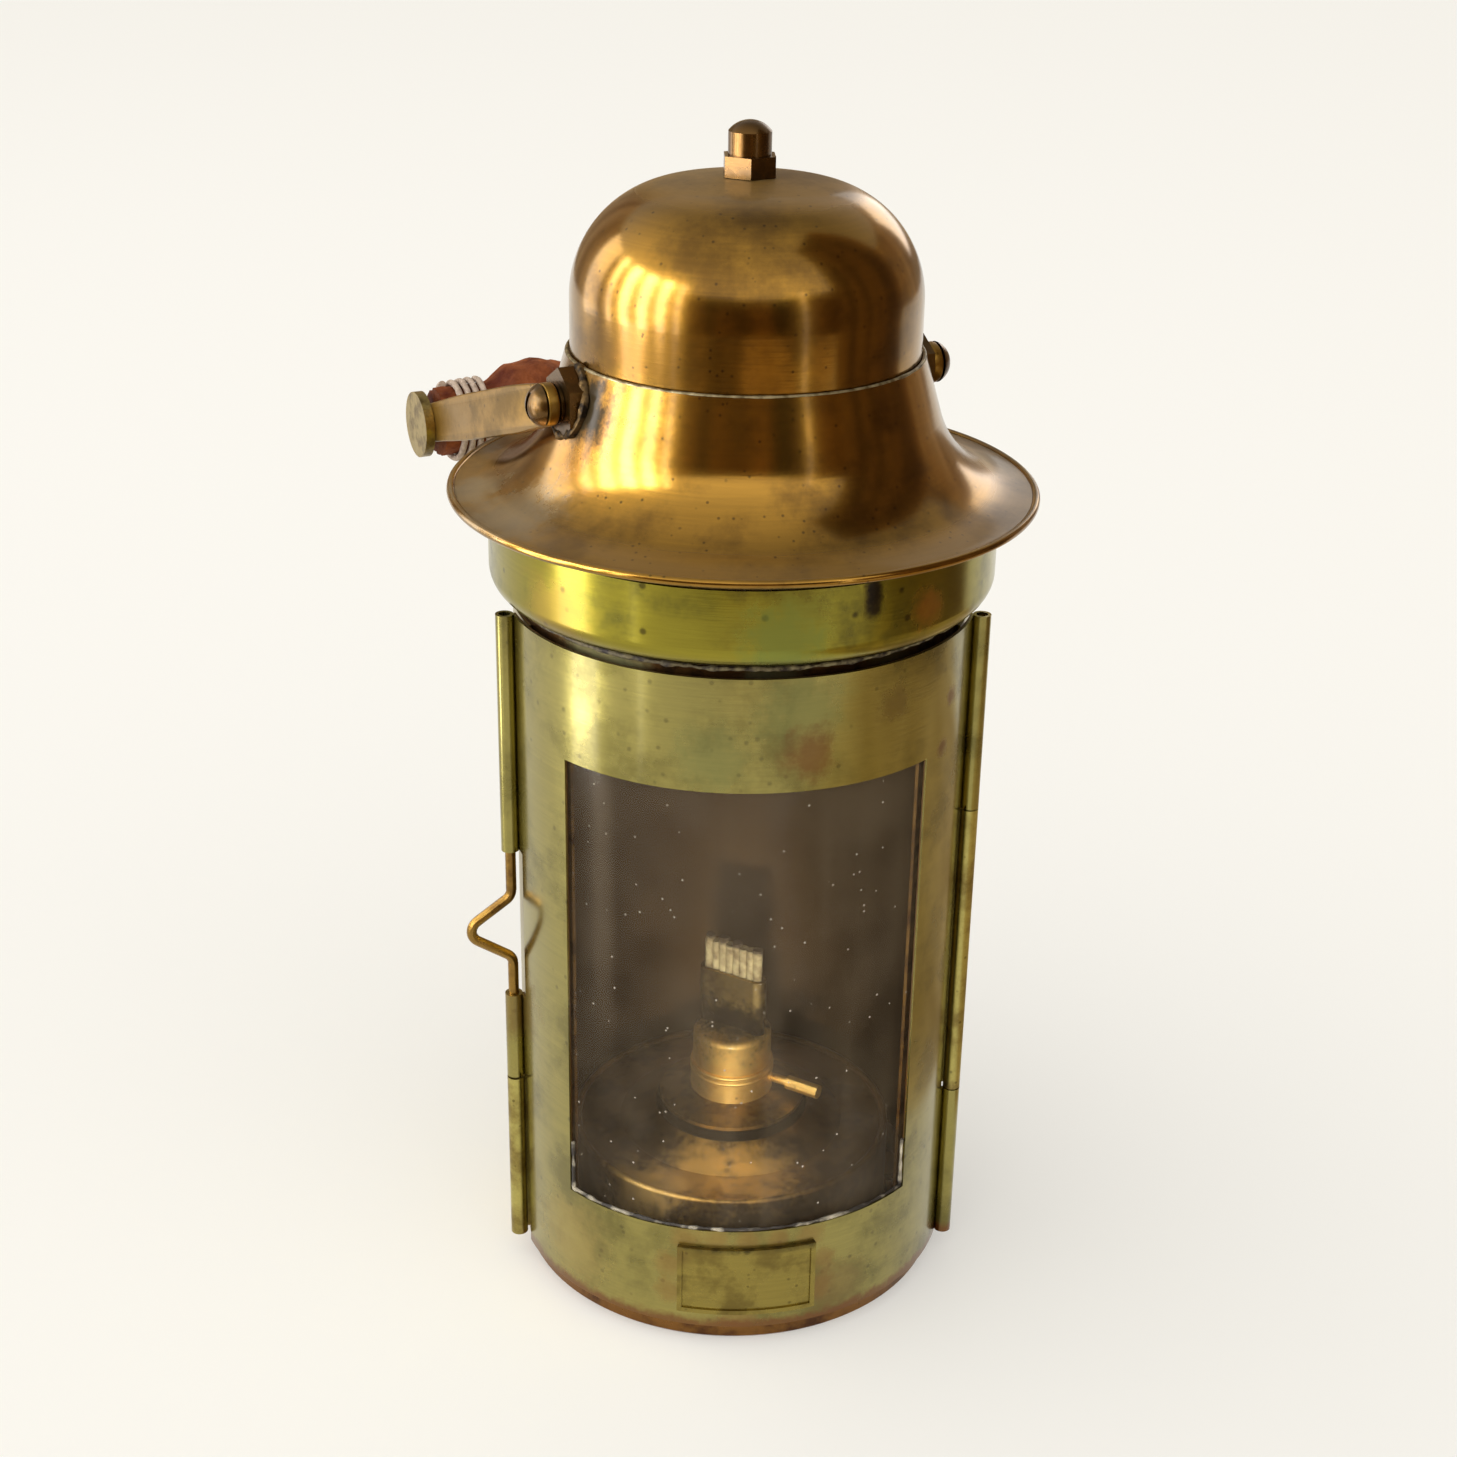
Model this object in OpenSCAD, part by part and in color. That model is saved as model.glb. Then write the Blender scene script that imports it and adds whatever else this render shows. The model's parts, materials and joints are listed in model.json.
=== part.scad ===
// Brass oil lantern: a round body with a curved glazed door, a bell-shaped hood under a dome,
// a folding bail with a leather grip, and an oil font with a flat-wick burner inside.
// Millimetres. +Z is up, the door faces -Y, the origin is the centre of the base's underside.
// Polar angles count from the front, positive towards +X.

/* [Sheet and fits] */
// Thickness of the brass sheet
sheet = 0.8; // [0.6:0.05:1.2]
// Gap filled by solder between pieces that are joined for good
solder = 0.1; // [0.05:0.05:0.2]
// Radial clearance of pins and shafts that turn or slide in a bore
run_clear = 0.08; // [0.03:0.01:0.1]
// Gap between pieces that move past each other
move_gap = 0.4; // [0.3:0.1:0.8]

/* [Body] */
// Outer radius of the body shell
body_r = 50.4; // [46:0.2:56]
// Height of the base rim below the shell
base_h = 4.5; // [3:0.1:8]
// Thickness of the base floor
base_floor = 1.2; // [0.8:0.1:2]
// Height of the base's inner wall above its rim, inside the shell
base_tuck = 4.5; // [3:0.1:8]
// Height of the body shell above the base rim
body_h = 160.5; // [140:0.5:190]
// How far the shell reaches behind each edge of the door
shell_lap = 3; // [2:0.1:6]
// Height of the ring inside the top of the shell
ring_h = 19; // [14:0.5:24]
// How far that ring stands above the shell
ring_rise = 11; // [8:0.5:12]

/* [Door] */
// Radial gap between the shell and the door
door_off = 0.8; // [0.5:0.1:1.5]
// How far the door stands above the shell
door_over = 0.6; // [0.4:0.1:2]
// Gap between the base rim and the door's lower edge
door_lift = 0.3; // [0.3:0.1:1]
// Gap between the door's plain edges and the tubes on the body
door_reveal = 1.9; // [1:0.1:3]
// Half-angle of the window
window_half = 47.7; // [40:0.1:48]
// Height of the strip of door above the window
window_head = 25.3; // [22:0.1:40]
// Height of the window's lower edge above the door's lower edge
window_sill = 26.3; // [24:0.1:34]
// Thickness of the curved pane
glass_t = 2; // [1.5:0.1:2.5]
// How far the pane reaches behind the door on each side
glass_lap = 3.6; // [2.5:0.1:4]
// Length of the plate on the door's lower part
plate_w = 31.4; // [20:0.2:40]
// Height of the plate
plate_h = 17.7; // [10:0.1:19]
// Thickness of the plate's raised border
plate_t = 1; // [0.6:0.1:1.6]
// Height of the plate above the door's lower edge
plate_rise = 4.2; // [3:0.1:5]
// Polar angle of the plate's middle
plate_turn = 1.8; // [-6:0.1:6]

/* [Hinge and latch] */
// Outer diameter of the rolled tubes
tube_d = 4; // [3.8:0.1:5]
// Diameter of the hinge pin and of the latch wire
pin_d = 2.4; // [1.8:0.1:2.6]
// Polar angle of the hinge and of the latch
tube_turn = 73.6; // [73:0.1:76]
// Length of the hinge's lower tube
hinge_low = 40.6; // [20:0.2:50]
// Length of the hinge's middle tube, which is on the body
hinge_mid = 73.3; // [40:0.2:85]
// Length of the keeper tube, which is on the body
keeper_h = 44; // [20:0.5:46]
// Length of the short guide tube above the keeper
guide_h = 22; // [12:0.5:24]
// Bare length of latch wire above the short guide
latch_bare = 37; // [34:0.5:42]
// Bare wire between the short guide and the thumb loop's lower bend
loop_gap = 7.8; // [6:0.1:9]
// How far the thumb loop stands out from the wire
loop_out = 10.6; // [9:0.1:14]
// Bend radius at the middle of the latch wire
loop_bend = 3; // [2.6:0.1:3.4]
// Slope of the thumb loop's two legs
loop_slope = 34; // [25:1:40]

/* [Collar and hood] */
// How far the collar stands out over the body shell
collar_out = 5; // [4.4:0.1:8]
// Height of the collar
collar_h = 17.5; // [14:0.5:19]
// Radius of the collar's rounded lower edge
collar_round = 5; // [3:0.1:5.4]
// Gap between the door and the collar
collar_gap = 2.7; // [2:0.1:5]
// Height of the hood's brim above the collar's lower edge
brim_rise = 22.2; // [21:0.1:28]
// Radius of the hood's brim
brim_r = 64; // [60:0.5:72]
// Radius of the rolled bead round the brim
brim_bead = 0.9; // [0.7:0.1:1.4]
// Height of the bell from its brim to its lip
bell_h = 29.3; // [26:0.1:36]
// Lean of the bell's neck
neck_lean = 16.3; // [12:0.1:18]
// Outer radius of the dome
dome_r = 37.25; // [34:0.25:40]
// Height of the dome above the bell's lip
dome_h = 36.3; // [32:0.1:40]
// Radius of the dome's crown
crown_r = 110; // [80:1:160]
// Radius of the dome's shoulder
shoulder_r = 24; // [18:0.5:26]
// How far the dome reaches down inside the bell's lip
dome_tuck = 4; // [3:0.1:6]
// Width of the three struts that carry the hood
strut_w = 12; // [8:0.5:16]
// Diameter of the stud that holds the dome
stud_d = 5; // [4:0.1:6]
// Width of the bridge that carries the stud
bridge_w = 12; // [9:0.5:16]
// Thickness of the bridge
bridge_t = 1.6; // [1.2:0.1:2.5]
// Width across flats of the acorn nut
nut_flats = 10.45; // [9:0.05:13]
// Height of the acorn nut's hexagon
nut_hex_h = 4.25; // [3:0.05:6]
// Height of the whole acorn nut
nut_h = 11.2; // [10:0.1:15]
// Rise of the acorn nut's domed top
nut_crown = 2.2; // [1.6:0.1:2.8]
// Diameter of the acorn nut's round top
nut_top_d = 9; // [8:0.1:9]

/* [Bail] */
// Direction of the bail's pivot axis, turned from +X
bail_turn = 23; // [0:1:45]
// Height of the pivots below the bell's lip
pivot_drop = 7.3; // [6.5:0.1:9]
// Length of the bail from its pivots to the grip
bail_len = 82; // [76:0.5:100]
// Thickness of the bail's legs
leg_t = 2.4; // [1.8:0.1:3]
// Width of a leg at its pivot
leg_w = 13; // [11:0.1:15]
// Width of a leg at the grip
leg_tip_w = 10.4; // [9:0.1:13]
// Width across flats of the pivot nuts
boss_flats = 13; // [11:0.1:16]
// Distance of the pivot nuts' faces from the axis of the lantern
boss_face = 42.7; // [42.4:0.1:44]
// Diameter of the pivot screws
screw_d = 6.4; // [5:0.1:7]
// Diameter of the pivot screws' heads
screw_head_d = 9; // [8.4:0.1:11]
// Height of the pivot screws' heads
screw_head_h = 3; // [2.4:0.1:4]
// Diameter of the rod through the grip
rod_d = 6; // [4.5:0.1:7]
// Diameter of the rod's end discs
disc_d = 15.5; // [12:0.1:18]
// Thickness of the rod's end discs
disc_t = 2.2; // [1.5:0.1:3]
// Radius of the leather grip at its ends
grip_end_r = 8; // [6:0.1:9]
// Radius of the leather grip at its middle
grip_mid_r = 12; // [9:0.1:12.5]
// Thickness of the thong that ties the grip
thong_d = 1.5; // [1:0.1:2]
// Turns of thong at each end of the grip
thong_turns = 4; // [2:1:5]

/* [Oil font] */
// Outer radius of the font
font_r = 38.4; // [34:0.1:40]
// Height of the font's wall
font_h = 26.2; // [20:0.1:28]
// Radius of the foot of the raised cone on the font's top
cone_r = 27; // [24:0.5:30]
// Height of that cone
cone_h = 5; // [3:0.1:7]
// Height of the seat ring on the base floor
seat_h = 4; // [3:0.5:8]
// Turn of the burner and its wick
burner_turn = -33; // [-60:1:60]
// Radius of the burner's flange
flange_r = 17.5; // [16.6:0.1:22]
// Radius of the burner's threaded neck
thread_r = 12.2; // [11:0.1:13]
// Height of the burner's sloping skirt above its flange's underside
skirt_h = 2.6; // [2:0.1:4]
// Outer radius of the lower part of the burner's cap
cap_r = 9.9; // [9.8:0.1:10.6]
// Height of that lower part
cap_h = 7.2; // [6.4:0.1:10]
// Outer radius of the upper part of the burner's cap
cap_top_r = 9.4; // [9.4:0.1:9.7]
// Height of that upper part
cap_top_h = 9.1; // [7:0.1:11]
// Length of wick tube above the burner's cap
tube_rise = 14.5; // [13:0.1:20]
// Length of the sleeve round the tube's mouth
sleeve_h = 10; // [6:0.2:12]
// Width of the flat wick
wick_w = 15.4; // [12:0.1:15.6]
// Thickness of the flat wick
wick_t = 2.4; // [1.8:0.1:2.6]
// Length of wick above its tube
wick_rise = 9; // [4:0.5:14]
// Radius of the toothed wheels that lift the wick
wheel_r = 2.4; // [2:0.1:2.6]
// Teeth on each wheel
wheel_teeth = 8; // [6:1:10]
// Diameter of the wick spindle
spindle_d = 2.2; // [1.8:0.1:2.4]
// Height of the spindle above the foot of the burner's cap
spindle_rise = 2.4; // [2.2:0.1:3]
// Reach of the spindle from the burner's middle to the end of its knob
spindle_reach = 22; // [20:0.5:26]
// Diameter of the spindle's knob
knob_d = 3.4; // [3.2:0.1:4.5]
// Length of the spindle's knob
knob_l = 8.5; // [6:0.1:9]

/* [Hidden] */
$fn = 96;
cut = 1;                                            // overshoot of a cutting tool
arc_steps = 12;                                     // chords in a profile's arc
hole_clear = 0.2;                                   // radial clearance of a loose hole

// Angle that a length takes up along a circle
function along(length, r) = length / r * 180 / PI;

// Heights and radii of the body
base_step = 0.3;                                    // how far the shell stands out over the base
base_r = body_r - base_step;
shell_in = body_r - sheet;
ring_r = shell_in - solder;
ring_in = ring_r - sheet;
body_top = base_h + body_h;
ring_top = body_top + ring_rise;
base_edge = 0.8;                                    // chamfer round the base's foot
base_wall_top = base_h + base_tuck;

// Door
door_in = body_r + door_off;
door_r = door_in + sheet;
door_z = base_h + door_lift;
door_top = body_top + door_over;
door_h = door_top - door_z;
window_z = door_z + window_sill;
window_h = door_h - window_sill - window_head;
glass_r = door_in - solder;
glass_in = glass_r - glass_t;
glass_half = window_half + along(glass_lap, glass_r);
glass_z = window_z - glass_lap;
glass_h = window_h + 2 * glass_lap;
glass_play = 0.3;                                   // play of the pane in its channels
channel_bite = 2;                                   // how far a channel laps behind the pane
plate_border = 1.1;                                 // width of the plate's raised border
plate_field = 0.4;                                  // depth of the plate's field

// Hinge and latch
tube_sink = 0.3;                                    // how far a rolled tube sinks in the sheet
tube_r = door_r - tube_sink + tube_d / 2;
door_half = tube_turn - along(tube_d / 2 + door_reveal, tube_r);
mouth_half = door_half - along(shell_lap, body_r);
bore_d = pin_d + 2 * run_clear;
knuckle_gap = 0.3;
tab_inset = 0.3;                                    // how far a tube outreaches its tab of sheet
notch_past = 3;                                     // degrees that a notch runs past the tube
hinge_mid_z = door_z + hinge_low + knuckle_gap;
hinge_up_z = hinge_mid_z + hinge_mid + knuckle_gap;
keeper_z = door_z + 2 * knuckle_gap;
guide_z = keeper_z + keeper_h + 2 * knuckle_gap;
latch_up_z = guide_z + guide_h + latch_bare;
leaf_t = 1;                                         // thickness of the leaf behind a body tube
latch_tip_z = guide_z + knuckle_gap;
latch_head = 14;                                    // wire inside the upper tube
loop_tip_x = loop_out - pin_d / 2 - loop_bend;      // centre of the bend at the loop's tip
loop_rise = 2 * loop_bend / cos(loop_slope) + (loop_tip_x - loop_bend) * tan(loop_slope);
loop_z = guide_z + guide_h + loop_gap + loop_rise;
loop_tail = 0.6;                                    // loop wire hidden inside the straight pin
loop_thin = 0.04;                                   // keeps the loop's facets inside the pin
loop_sides = 12;
pin_inset = 1.2;                                    // hinge pin ends inside its tubes

// Collar, bell and dome
collar_r = body_r + collar_out;
collar_z = door_top + collar_gap;
collar_hole = ring_r + solder;
collar_lip = 3.5;                                   // height of the collar's inner lip
brim_z = collar_z + brim_rise;
lip_z = brim_z + bell_h;
seam_gap = 0.15;
neck_wall = sheet / cos(neck_lean);                 // level thickness of the leaning neck
neck_r = dome_r + seam_gap + neck_wall;
flare_r = (brim_r - neck_r - bell_h * tan(neck_lean))
    / (cos(neck_lean) - tan(neck_lean) * (1 - sin(neck_lean)));
flare_z = brim_z + flare_r;                         // height of the flare's centre
flare_turn = 180 + neck_lean;                       // where the neck meets the flare
bead_turn = 180 - asin(sheet / 2 / brim_bead);
rim_turn = 270 - asin(brim_bead * (1 - cos(bead_turn)) / flare_r);
strut_t = 1.2;
strut_foot = 6;                                     // length of a strut's foot under the brim
strut_r = ring_in - solder;
strut_count = 3;
strut_turn = 30;                                    // polar angle of the first strut
strut_lift = 1;                                     // struts start above the ring's lower edge
crown_z = lip_z + dome_h;
crown_c = crown_z - crown_r;
shoulder_x = dome_r - shoulder_r;
shoulder_c = crown_c + sqrt(pow(crown_r - shoulder_r, 2) - pow(shoulder_x, 2));
shoulder_turn = atan2(shoulder_x, shoulder_c - crown_c);
skirt_z = lip_z - dome_tuck;
stud_rise = 7;                                      // stud inside the acorn nut
stud_top = crown_z + stud_rise;
stud_head_d = 9;
stud_head_h = 2;

// Bail
pivot_z = lip_z - pivot_drop;
leg_gap = 1.2;                                      // between a pivot nut and its leg
leg_in = boss_face + leg_gap;
leg_out = leg_in + leg_t;
nut_root = 2;                                       // pivot nut before the bell trims it
screw_tail = 0.4;                                   // screw reaching in past the bell's lip
screw_step = 1;                                     // width of the screws' shoulder
rim_top = brim_z - sheet / 2 + brim_bead;
rim_y = sqrt(pow(brim_r, 2) - pow(leg_in, 2));
leg_half = (leg_w + (leg_tip_w - leg_w) * rim_y / bail_len) / 2;
bail_drop = atan2(pivot_z - rim_top, rim_y)
    - asin((leg_half + move_gap) / norm([rim_y, pivot_z - rim_top]));
grip_half = leg_in - solder;
grip_steps = 12;
thong_space = 0.5;                                  // between one turn of thong and the next
thong_pitch = thong_d + thong_space;
thong_r = grip_end_r + thong_d / 2 + solder;
thong_start = grip_half - 2 * thong_d;
thong_sides = 6;
thong_rings = 24;                                   // rings in each turn of thong

// Oil font and burner, heights first
font_rest = 0.3;                                    // between the font and the base floor
font_z = base_floor + font_rest;
seat_play = 0.5;                                    // between the font and its seat ring
seat_r = font_r + seat_play;
font_top_z = font_z + font_h;
font_bead = 0.9;
cone_top_z = font_top_z + sheet + cone_h;
cone_top_r = 16;
collar_ring_h = 1.3;
flange_z = cone_top_z + collar_ring_h;
flange_t = 0.9;
skirt_top_z = flange_z + skirt_h;
tier_z = skirt_top_z + cap_h;                       // step between the cap's two parts
cap_top_z = tier_z + cap_top_h;
cap_t = 0.6;
cap_round = 1.6;                                    // rounded shoulder of the cap
cap_crown = 1.2;                                    // rise of the cap's crowned top
thread_h = 5.4;
web_t = 1.6;                                        // burner floor that holds the wick tube
web_drop = 0.4;                                     // floor below the flange's underside
web_z = flange_z - web_t - web_drop;
wick_play = 0.3;
tube_wall = 0.45;
wick_tube_w = wick_w + 2 * wick_play + 2 * tube_wall;
wick_tube_t = wick_t + 2 * wick_play + 2 * tube_wall;
tube_tail = 3;                                      // wick tube below the burner's floor
wick_tube_z = web_z - tube_tail;
wick_tube_top = cap_top_z + tube_rise;
sleeve_t = 0.3;
spindle_z = skirt_top_z + spindle_rise;
wheel_gap = 0.3;                                    // between the wheels' teeth and the wick
spindle_y = wick_t / 2 + wheel_r + wheel_gap;       // spindle stands behind the wick
spindle_end = 8;                                    // blind end of the spindle in the cap
wheel_x = 4;
wheel_w = 1.2;
tooth_h = 0.5;
tooth_w = 0.5;
wick_sweep = 12;                                    // room below the wick to wind it down
wick_z = font_z + sheet + wick_sweep;
wick_top = wick_tube_top + wick_rise;

// Turns its children so that local +X points outwards at a polar angle
module polar(turn) {
    rotate([0, 0, turn - 90]) children();
}

// Part of a ring wall between two polar angles
module arc_wall(r_out, t, z, h, from, to) {
    polar(from)
        rotate_extrude(angle = to - from)
            translate([r_out - t, z]) square([t, h]);
}

// A drilled tube that stands at a polar angle on the hinge and latch circle
module rolled_tube(turn, z, h) {
    polar(turn) translate([tube_r, 0, z]) cylinder(d = tube_d, h = h);
}

// The bore of such a tube
module tube_bore(turn, z, h) {
    polar(turn) translate([tube_r, 0, z - cut]) cylinder(d = bore_d, h = h + 2 * cut);
}

// A body tube with the leaf that joins it to the shell, on the side away from the door
module body_tube(turn, z, h, side) {
    difference() {
        union() {
            rolled_tube(turn, z, h);
            polar(turn)
                translate([body_r - cut, side > 0 ? tube_d / 2 - leaf_t : -tube_d / 2, z])
                    cube([tube_r - body_r + cut, leaf_t, h]);
        }
        translate([0, 0, z - cut]) cylinder(r = body_r + solder / 2, h = h + 2 * cut);
        tube_bore(turn, z, h);
    }
}

// A flat oblong with round ends, for the wick and its tube
module oblong(w, t) {
    square([w - t, t], center = true);
    for (side = [-1, 1]) translate([side * (w - t) / 2, 0]) circle(d = t);
}

// Direction of a path at one of its points
function heading(path, i) =
    let (step = path[min(i + 1, len(path) - 1)] - path[max(i - 1, 0)]) step / norm(step);

// A round wire along a path: each ring is square to the path, and one side faces the given way
module wire(path, facing, d, sides) {
    rings = len(path);
    points = [for (i = [0 : rings - 1], k = [0 : sides - 1])
        let (ahead = heading(path, i), side = cross(ahead, facing[i]), across = side / norm(side),
            up = cross(across, ahead), turn = 360 * k / sides)
        path[i] + d / 2 * (cos(turn) * up + sin(turn) * across)];
    walls = [for (i = [0 : rings - 2], k = [0 : sides - 1], half = [0, 1])
        let (a = i * sides + k, b = i * sides + (k + 1) % sides)
        half == 0 ? [a, a + sides, b] : [b, a + sides, b + sides]];
    ends = [for (k = [1 : sides - 2], last = [0, (rings - 1) * sides])
        last == 0 ? [0, k, k + 1] : [last, last + k + 1, last + k]];
    polyhedron(points, concat(walls, ends));
}

// Places its children in the bail's own frame: X along the pivots, Y along the legs
module bail_frame(drop) {
    translate([0, 0, pivot_z]) rotate([0, 0, bail_turn]) rotate([-drop, 0, 0]) children();
}

// Places its children on both pivots with local +Z pointing outwards
module each_pivot() {
    for (side = [-1, 1]) bail_frame(0) rotate([0, side * 90, 0]) children();
}

// Places its children on the burner's axis, turned with the wick
module burner_frame() {
    rotate([0, 0, burner_turn]) children();
}

// Places its children on the spindle with local +Z along it, towards the knob
module on_spindle(x) {
    burner_frame() translate([x, spindle_y, spindle_z]) rotate([0, 90, 0]) children();
}

// Points of an arc in the plane of a section
function arc(centre, r, from, to) = [for (i = [0 : arc_steps])
    let (turn = from + (to - from) * i / arc_steps) centre + r * [cos(turn), sin(turn)]];

// Outer line of the bell from its lip to its rim, moved outwards
function bell_line(grow) =
    concat([[neck_r + grow, lip_z]], arc([brim_r, flare_z], flare_r - grow, flare_turn, rim_turn));

// The bell's outer shape as a solid, for trimming what lies against it
module bell_solid(grow) {
    top_z = lip_z + nut_root;
    rotate_extrude()
        polygon(concat([[0, brim_z], [0, top_z], [neck_r + grow, top_z]], bell_line(grow)));
}

// The underside of the flare between two radii, in the plane of the section
module flare_band(inset, t, r_from, r_to) {
    intersection() {
        translate([brim_r, flare_z]) difference() {
            circle(r = flare_r + inset + t);
            circle(r = flare_r + inset);
        }
        translate([r_from, brim_z - 2 * t - inset]) square([r_to - r_from, flare_r]);
    }
}

// Spun pan: floor, stepped rim that carries the shell, and a wall inside the shell
module base_pan() {
    color("#8a5a2b") rotate_extrude() polygon([[0, 0], [base_r - base_edge, 0], [base_r, base_edge],
        [base_r, base_h], [ring_r, base_h], [ring_r, base_wall_top], [ring_in, base_wall_top],
        [ring_in, base_floor], [0, base_floor]]);
}

// Ring on the floor that keeps the font in the middle
module font_seat() {
    color("#7a5426") translate([0, 0, base_floor]) difference() {
        cylinder(r = seat_r + sheet, h = seat_h);
        translate([0, 0, -cut]) cylinder(r = seat_r, h = seat_h + 2 * cut);
    }
}

// Rear wall of the body, open in front for the door
module body_shell() {
    color("#a58a3c") arc_wall(body_r, sheet, base_h, body_h, mouth_half, 360 - mouth_half);
}

// Ring soldered inside the shell, which carries the collar and the hood
module top_ring() {
    color("#6d4a22") difference() {
        translate([0, 0, ring_top - ring_h]) cylinder(r = ring_r, h = ring_h);
        translate([0, 0, ring_top - ring_h - cut]) cylinder(r = ring_in, h = ring_h + 2 * cut);
    }
}

module body_knuckle() {
    color("#a8923f") body_tube(tube_turn, hinge_mid_z, hinge_mid, 1);
}

module latch_keeper() {
    color("#a8923f") body_tube(-tube_turn, keeper_z, keeper_h, -1);
}

module hinge_pin() {
    color("#8f7434") polar(tube_turn)
        translate([tube_r, 0, door_z + pin_inset]) cylinder(d = pin_d, h = door_h - 2 * pin_inset);
}

// Spun trough with a rounded lower edge, soldered to the top ring by its inner lip
module collar() {
    round_x = collar_r - collar_round;
    round_z = collar_z + collar_round;
    color("#a79a3d") rotate_extrude() {
        intersection() {
            translate([round_x, round_z]) difference() {
                circle(r = collar_round);
                circle(r = collar_round - sheet);
            }
            translate([round_x, collar_z]) square(collar_round);
        }
        translate([collar_r - sheet, round_z]) square([sheet, collar_h - collar_round]);
        translate([collar_hole, collar_z]) square([round_x - collar_hole, sheet]);
        translate([collar_hole, collar_z]) square([sheet, collar_lip]);
    }
}

// Three strips from the top ring up to the brim, each with a foot that follows the flare
module hood_struts() {
    strut_half = asin(strut_w / 2 / strut_r);
    strut_z = ring_top - ring_h + strut_lift;
    top_z = flare_z - sqrt(pow(flare_r + sheet + solder + strut_t, 2) - pow(brim_r - strut_r, 2));
    color("#6d4a22") for (turn = [0 : 360 / strut_count : 359])
        polar(turn + strut_turn - strut_half) rotate_extrude(angle = 2 * strut_half) {
            translate([strut_r - strut_t, strut_z]) square([strut_t, top_z + strut_t / 2 - strut_z]);
            flare_band(sheet + solder, strut_t, strut_r - strut_t, strut_r + strut_foot);
        }
}

// Spun hood: a leaning neck that flares into a level brim with a rolled bead
module bell() {
    bead_c = [brim_r - brim_bead, brim_z - sheet / 2];
    pivot_hole = screw_d + 2 * hole_clear;
    color("#8d6a22") difference() {
        rotate_extrude() polygon(concat(bell_line(0), arc(bead_c, brim_bead, bead_turn, -bead_turn),
            arc([brim_r, flare_z], flare_r + sheet, rim_turn, flare_turn), [[neck_r - neck_wall, lip_z]]));
        each_pivot() cylinder(d = pivot_hole, h = brim_r);
    }
}

// Dome: a crown arc, a shoulder arc and a straight skirt that slips inside the bell's lip
module dome() {
    crown = [0, crown_c];
    shoulder = [shoulder_x, shoulder_c];
    meet = 90 - shoulder_turn;
    color("#8d6a22") difference() {
        rotate_extrude() polygon(concat(
            arc(crown, crown_r, 90, meet), arc(shoulder, shoulder_r, meet, 0),
            [[dome_r, skirt_z], [dome_r - sheet, skirt_z]],
            arc(shoulder, shoulder_r - sheet, 0, meet), arc(crown, crown_r - sheet, meet, 90)));
        translate([0, 0, skirt_z]) cylinder(d = stud_d + 2 * hole_clear, h = crown_z);
    }
}

// Strap across the neck that the dome's skirt stands on, drilled for the stud
module cap_bridge() {
    neck_in = neck_r + dome_tuck * tan(neck_lean) - neck_wall - solder;
    color("#6d4a22") difference() {
        intersection() {
            bail_frame(0) translate([-bridge_w / 2, -brim_r, skirt_z - bridge_t - pivot_z])
                cube([bridge_w, 2 * brim_r, bridge_t]);
            cylinder(r = neck_in, h = crown_z);
        }
        cylinder(d = stud_d + 2 * solder, h = crown_z);
    }
}

// Stud riveted in the bridge, which reaches up into the acorn nut
module cap_stud() {
    stud_z = skirt_z - bridge_t;
    color("#8f7434") {
        translate([0, 0, stud_z - stud_head_h]) cylinder(d = stud_head_d, h = stud_head_h);
        translate([0, 0, stud_z - stud_head_h]) cylinder(d = stud_d, h = stud_top - stud_z + stud_head_h);
    }
}

// Shallow round cap that stands on z = 0
module domed_cap(d, h) {
    ball_r = (pow(d / 2, 2) + pow(h, 2)) / (2 * h);
    intersection() {
        cylinder(d = d, h = h);
        translate([0, 0, h - ball_r]) sphere(r = ball_r);
    }
}

// Hexagon with a round domed top
module acorn_nut() {
    color("#9a7a3a") difference() {
        translate([0, 0, crown_z]) union() {
            rotate([0, 0, 30]) cylinder(d = nut_flats / cos(30), h = nut_hex_h, $fn = 6);
            cylinder(d = nut_top_d, h = nut_h - nut_crown);
            translate([0, 0, nut_h - nut_crown]) domed_cap(nut_top_d, nut_crown);
        }
        cylinder(d = stud_d + 2 * solder, h = stud_top + solder);
    }
}

// Hexagon nuts soldered to the bell's neck
module pivot_nuts() {
    color("#8f7434") difference() {
        each_pivot() difference() {
            translate([0, 0, neck_r - nut_root])
                cylinder(d = boss_flats / cos(30), h = boss_face - neck_r + nut_root, $fn = 6);
            cylinder(d = screw_d + 2 * solder, h = brim_r);
        }
        bell_solid(solder / 2);
    }
}

// Slotted screws that the bail's legs turn on
module pivot_screws() {
    neck = boss_face - neck_r + screw_tail;
    slot_w = 1.2;
    slot_deep = 1;
    head_z = leg_out + move_gap;
    color("#9a6f2e") each_pivot() {
        translate([0, 0, boss_face - neck]) cylinder(d = screw_d, h = head_z - boss_face + neck + cut);
        translate([0, 0, boss_face + solder])
            cylinder(d = screw_d + 2 * screw_step, h = leg_in - boss_face - solder - move_gap);
        difference() {
            translate([0, 0, head_z]) domed_cap(screw_head_d, screw_head_h);
            translate([-screw_head_d, -slot_w / 2, head_z + screw_head_h - slot_deep])
                cube([2 * screw_head_d, slot_w, slot_deep + cut]);
        }
    }
}

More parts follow.
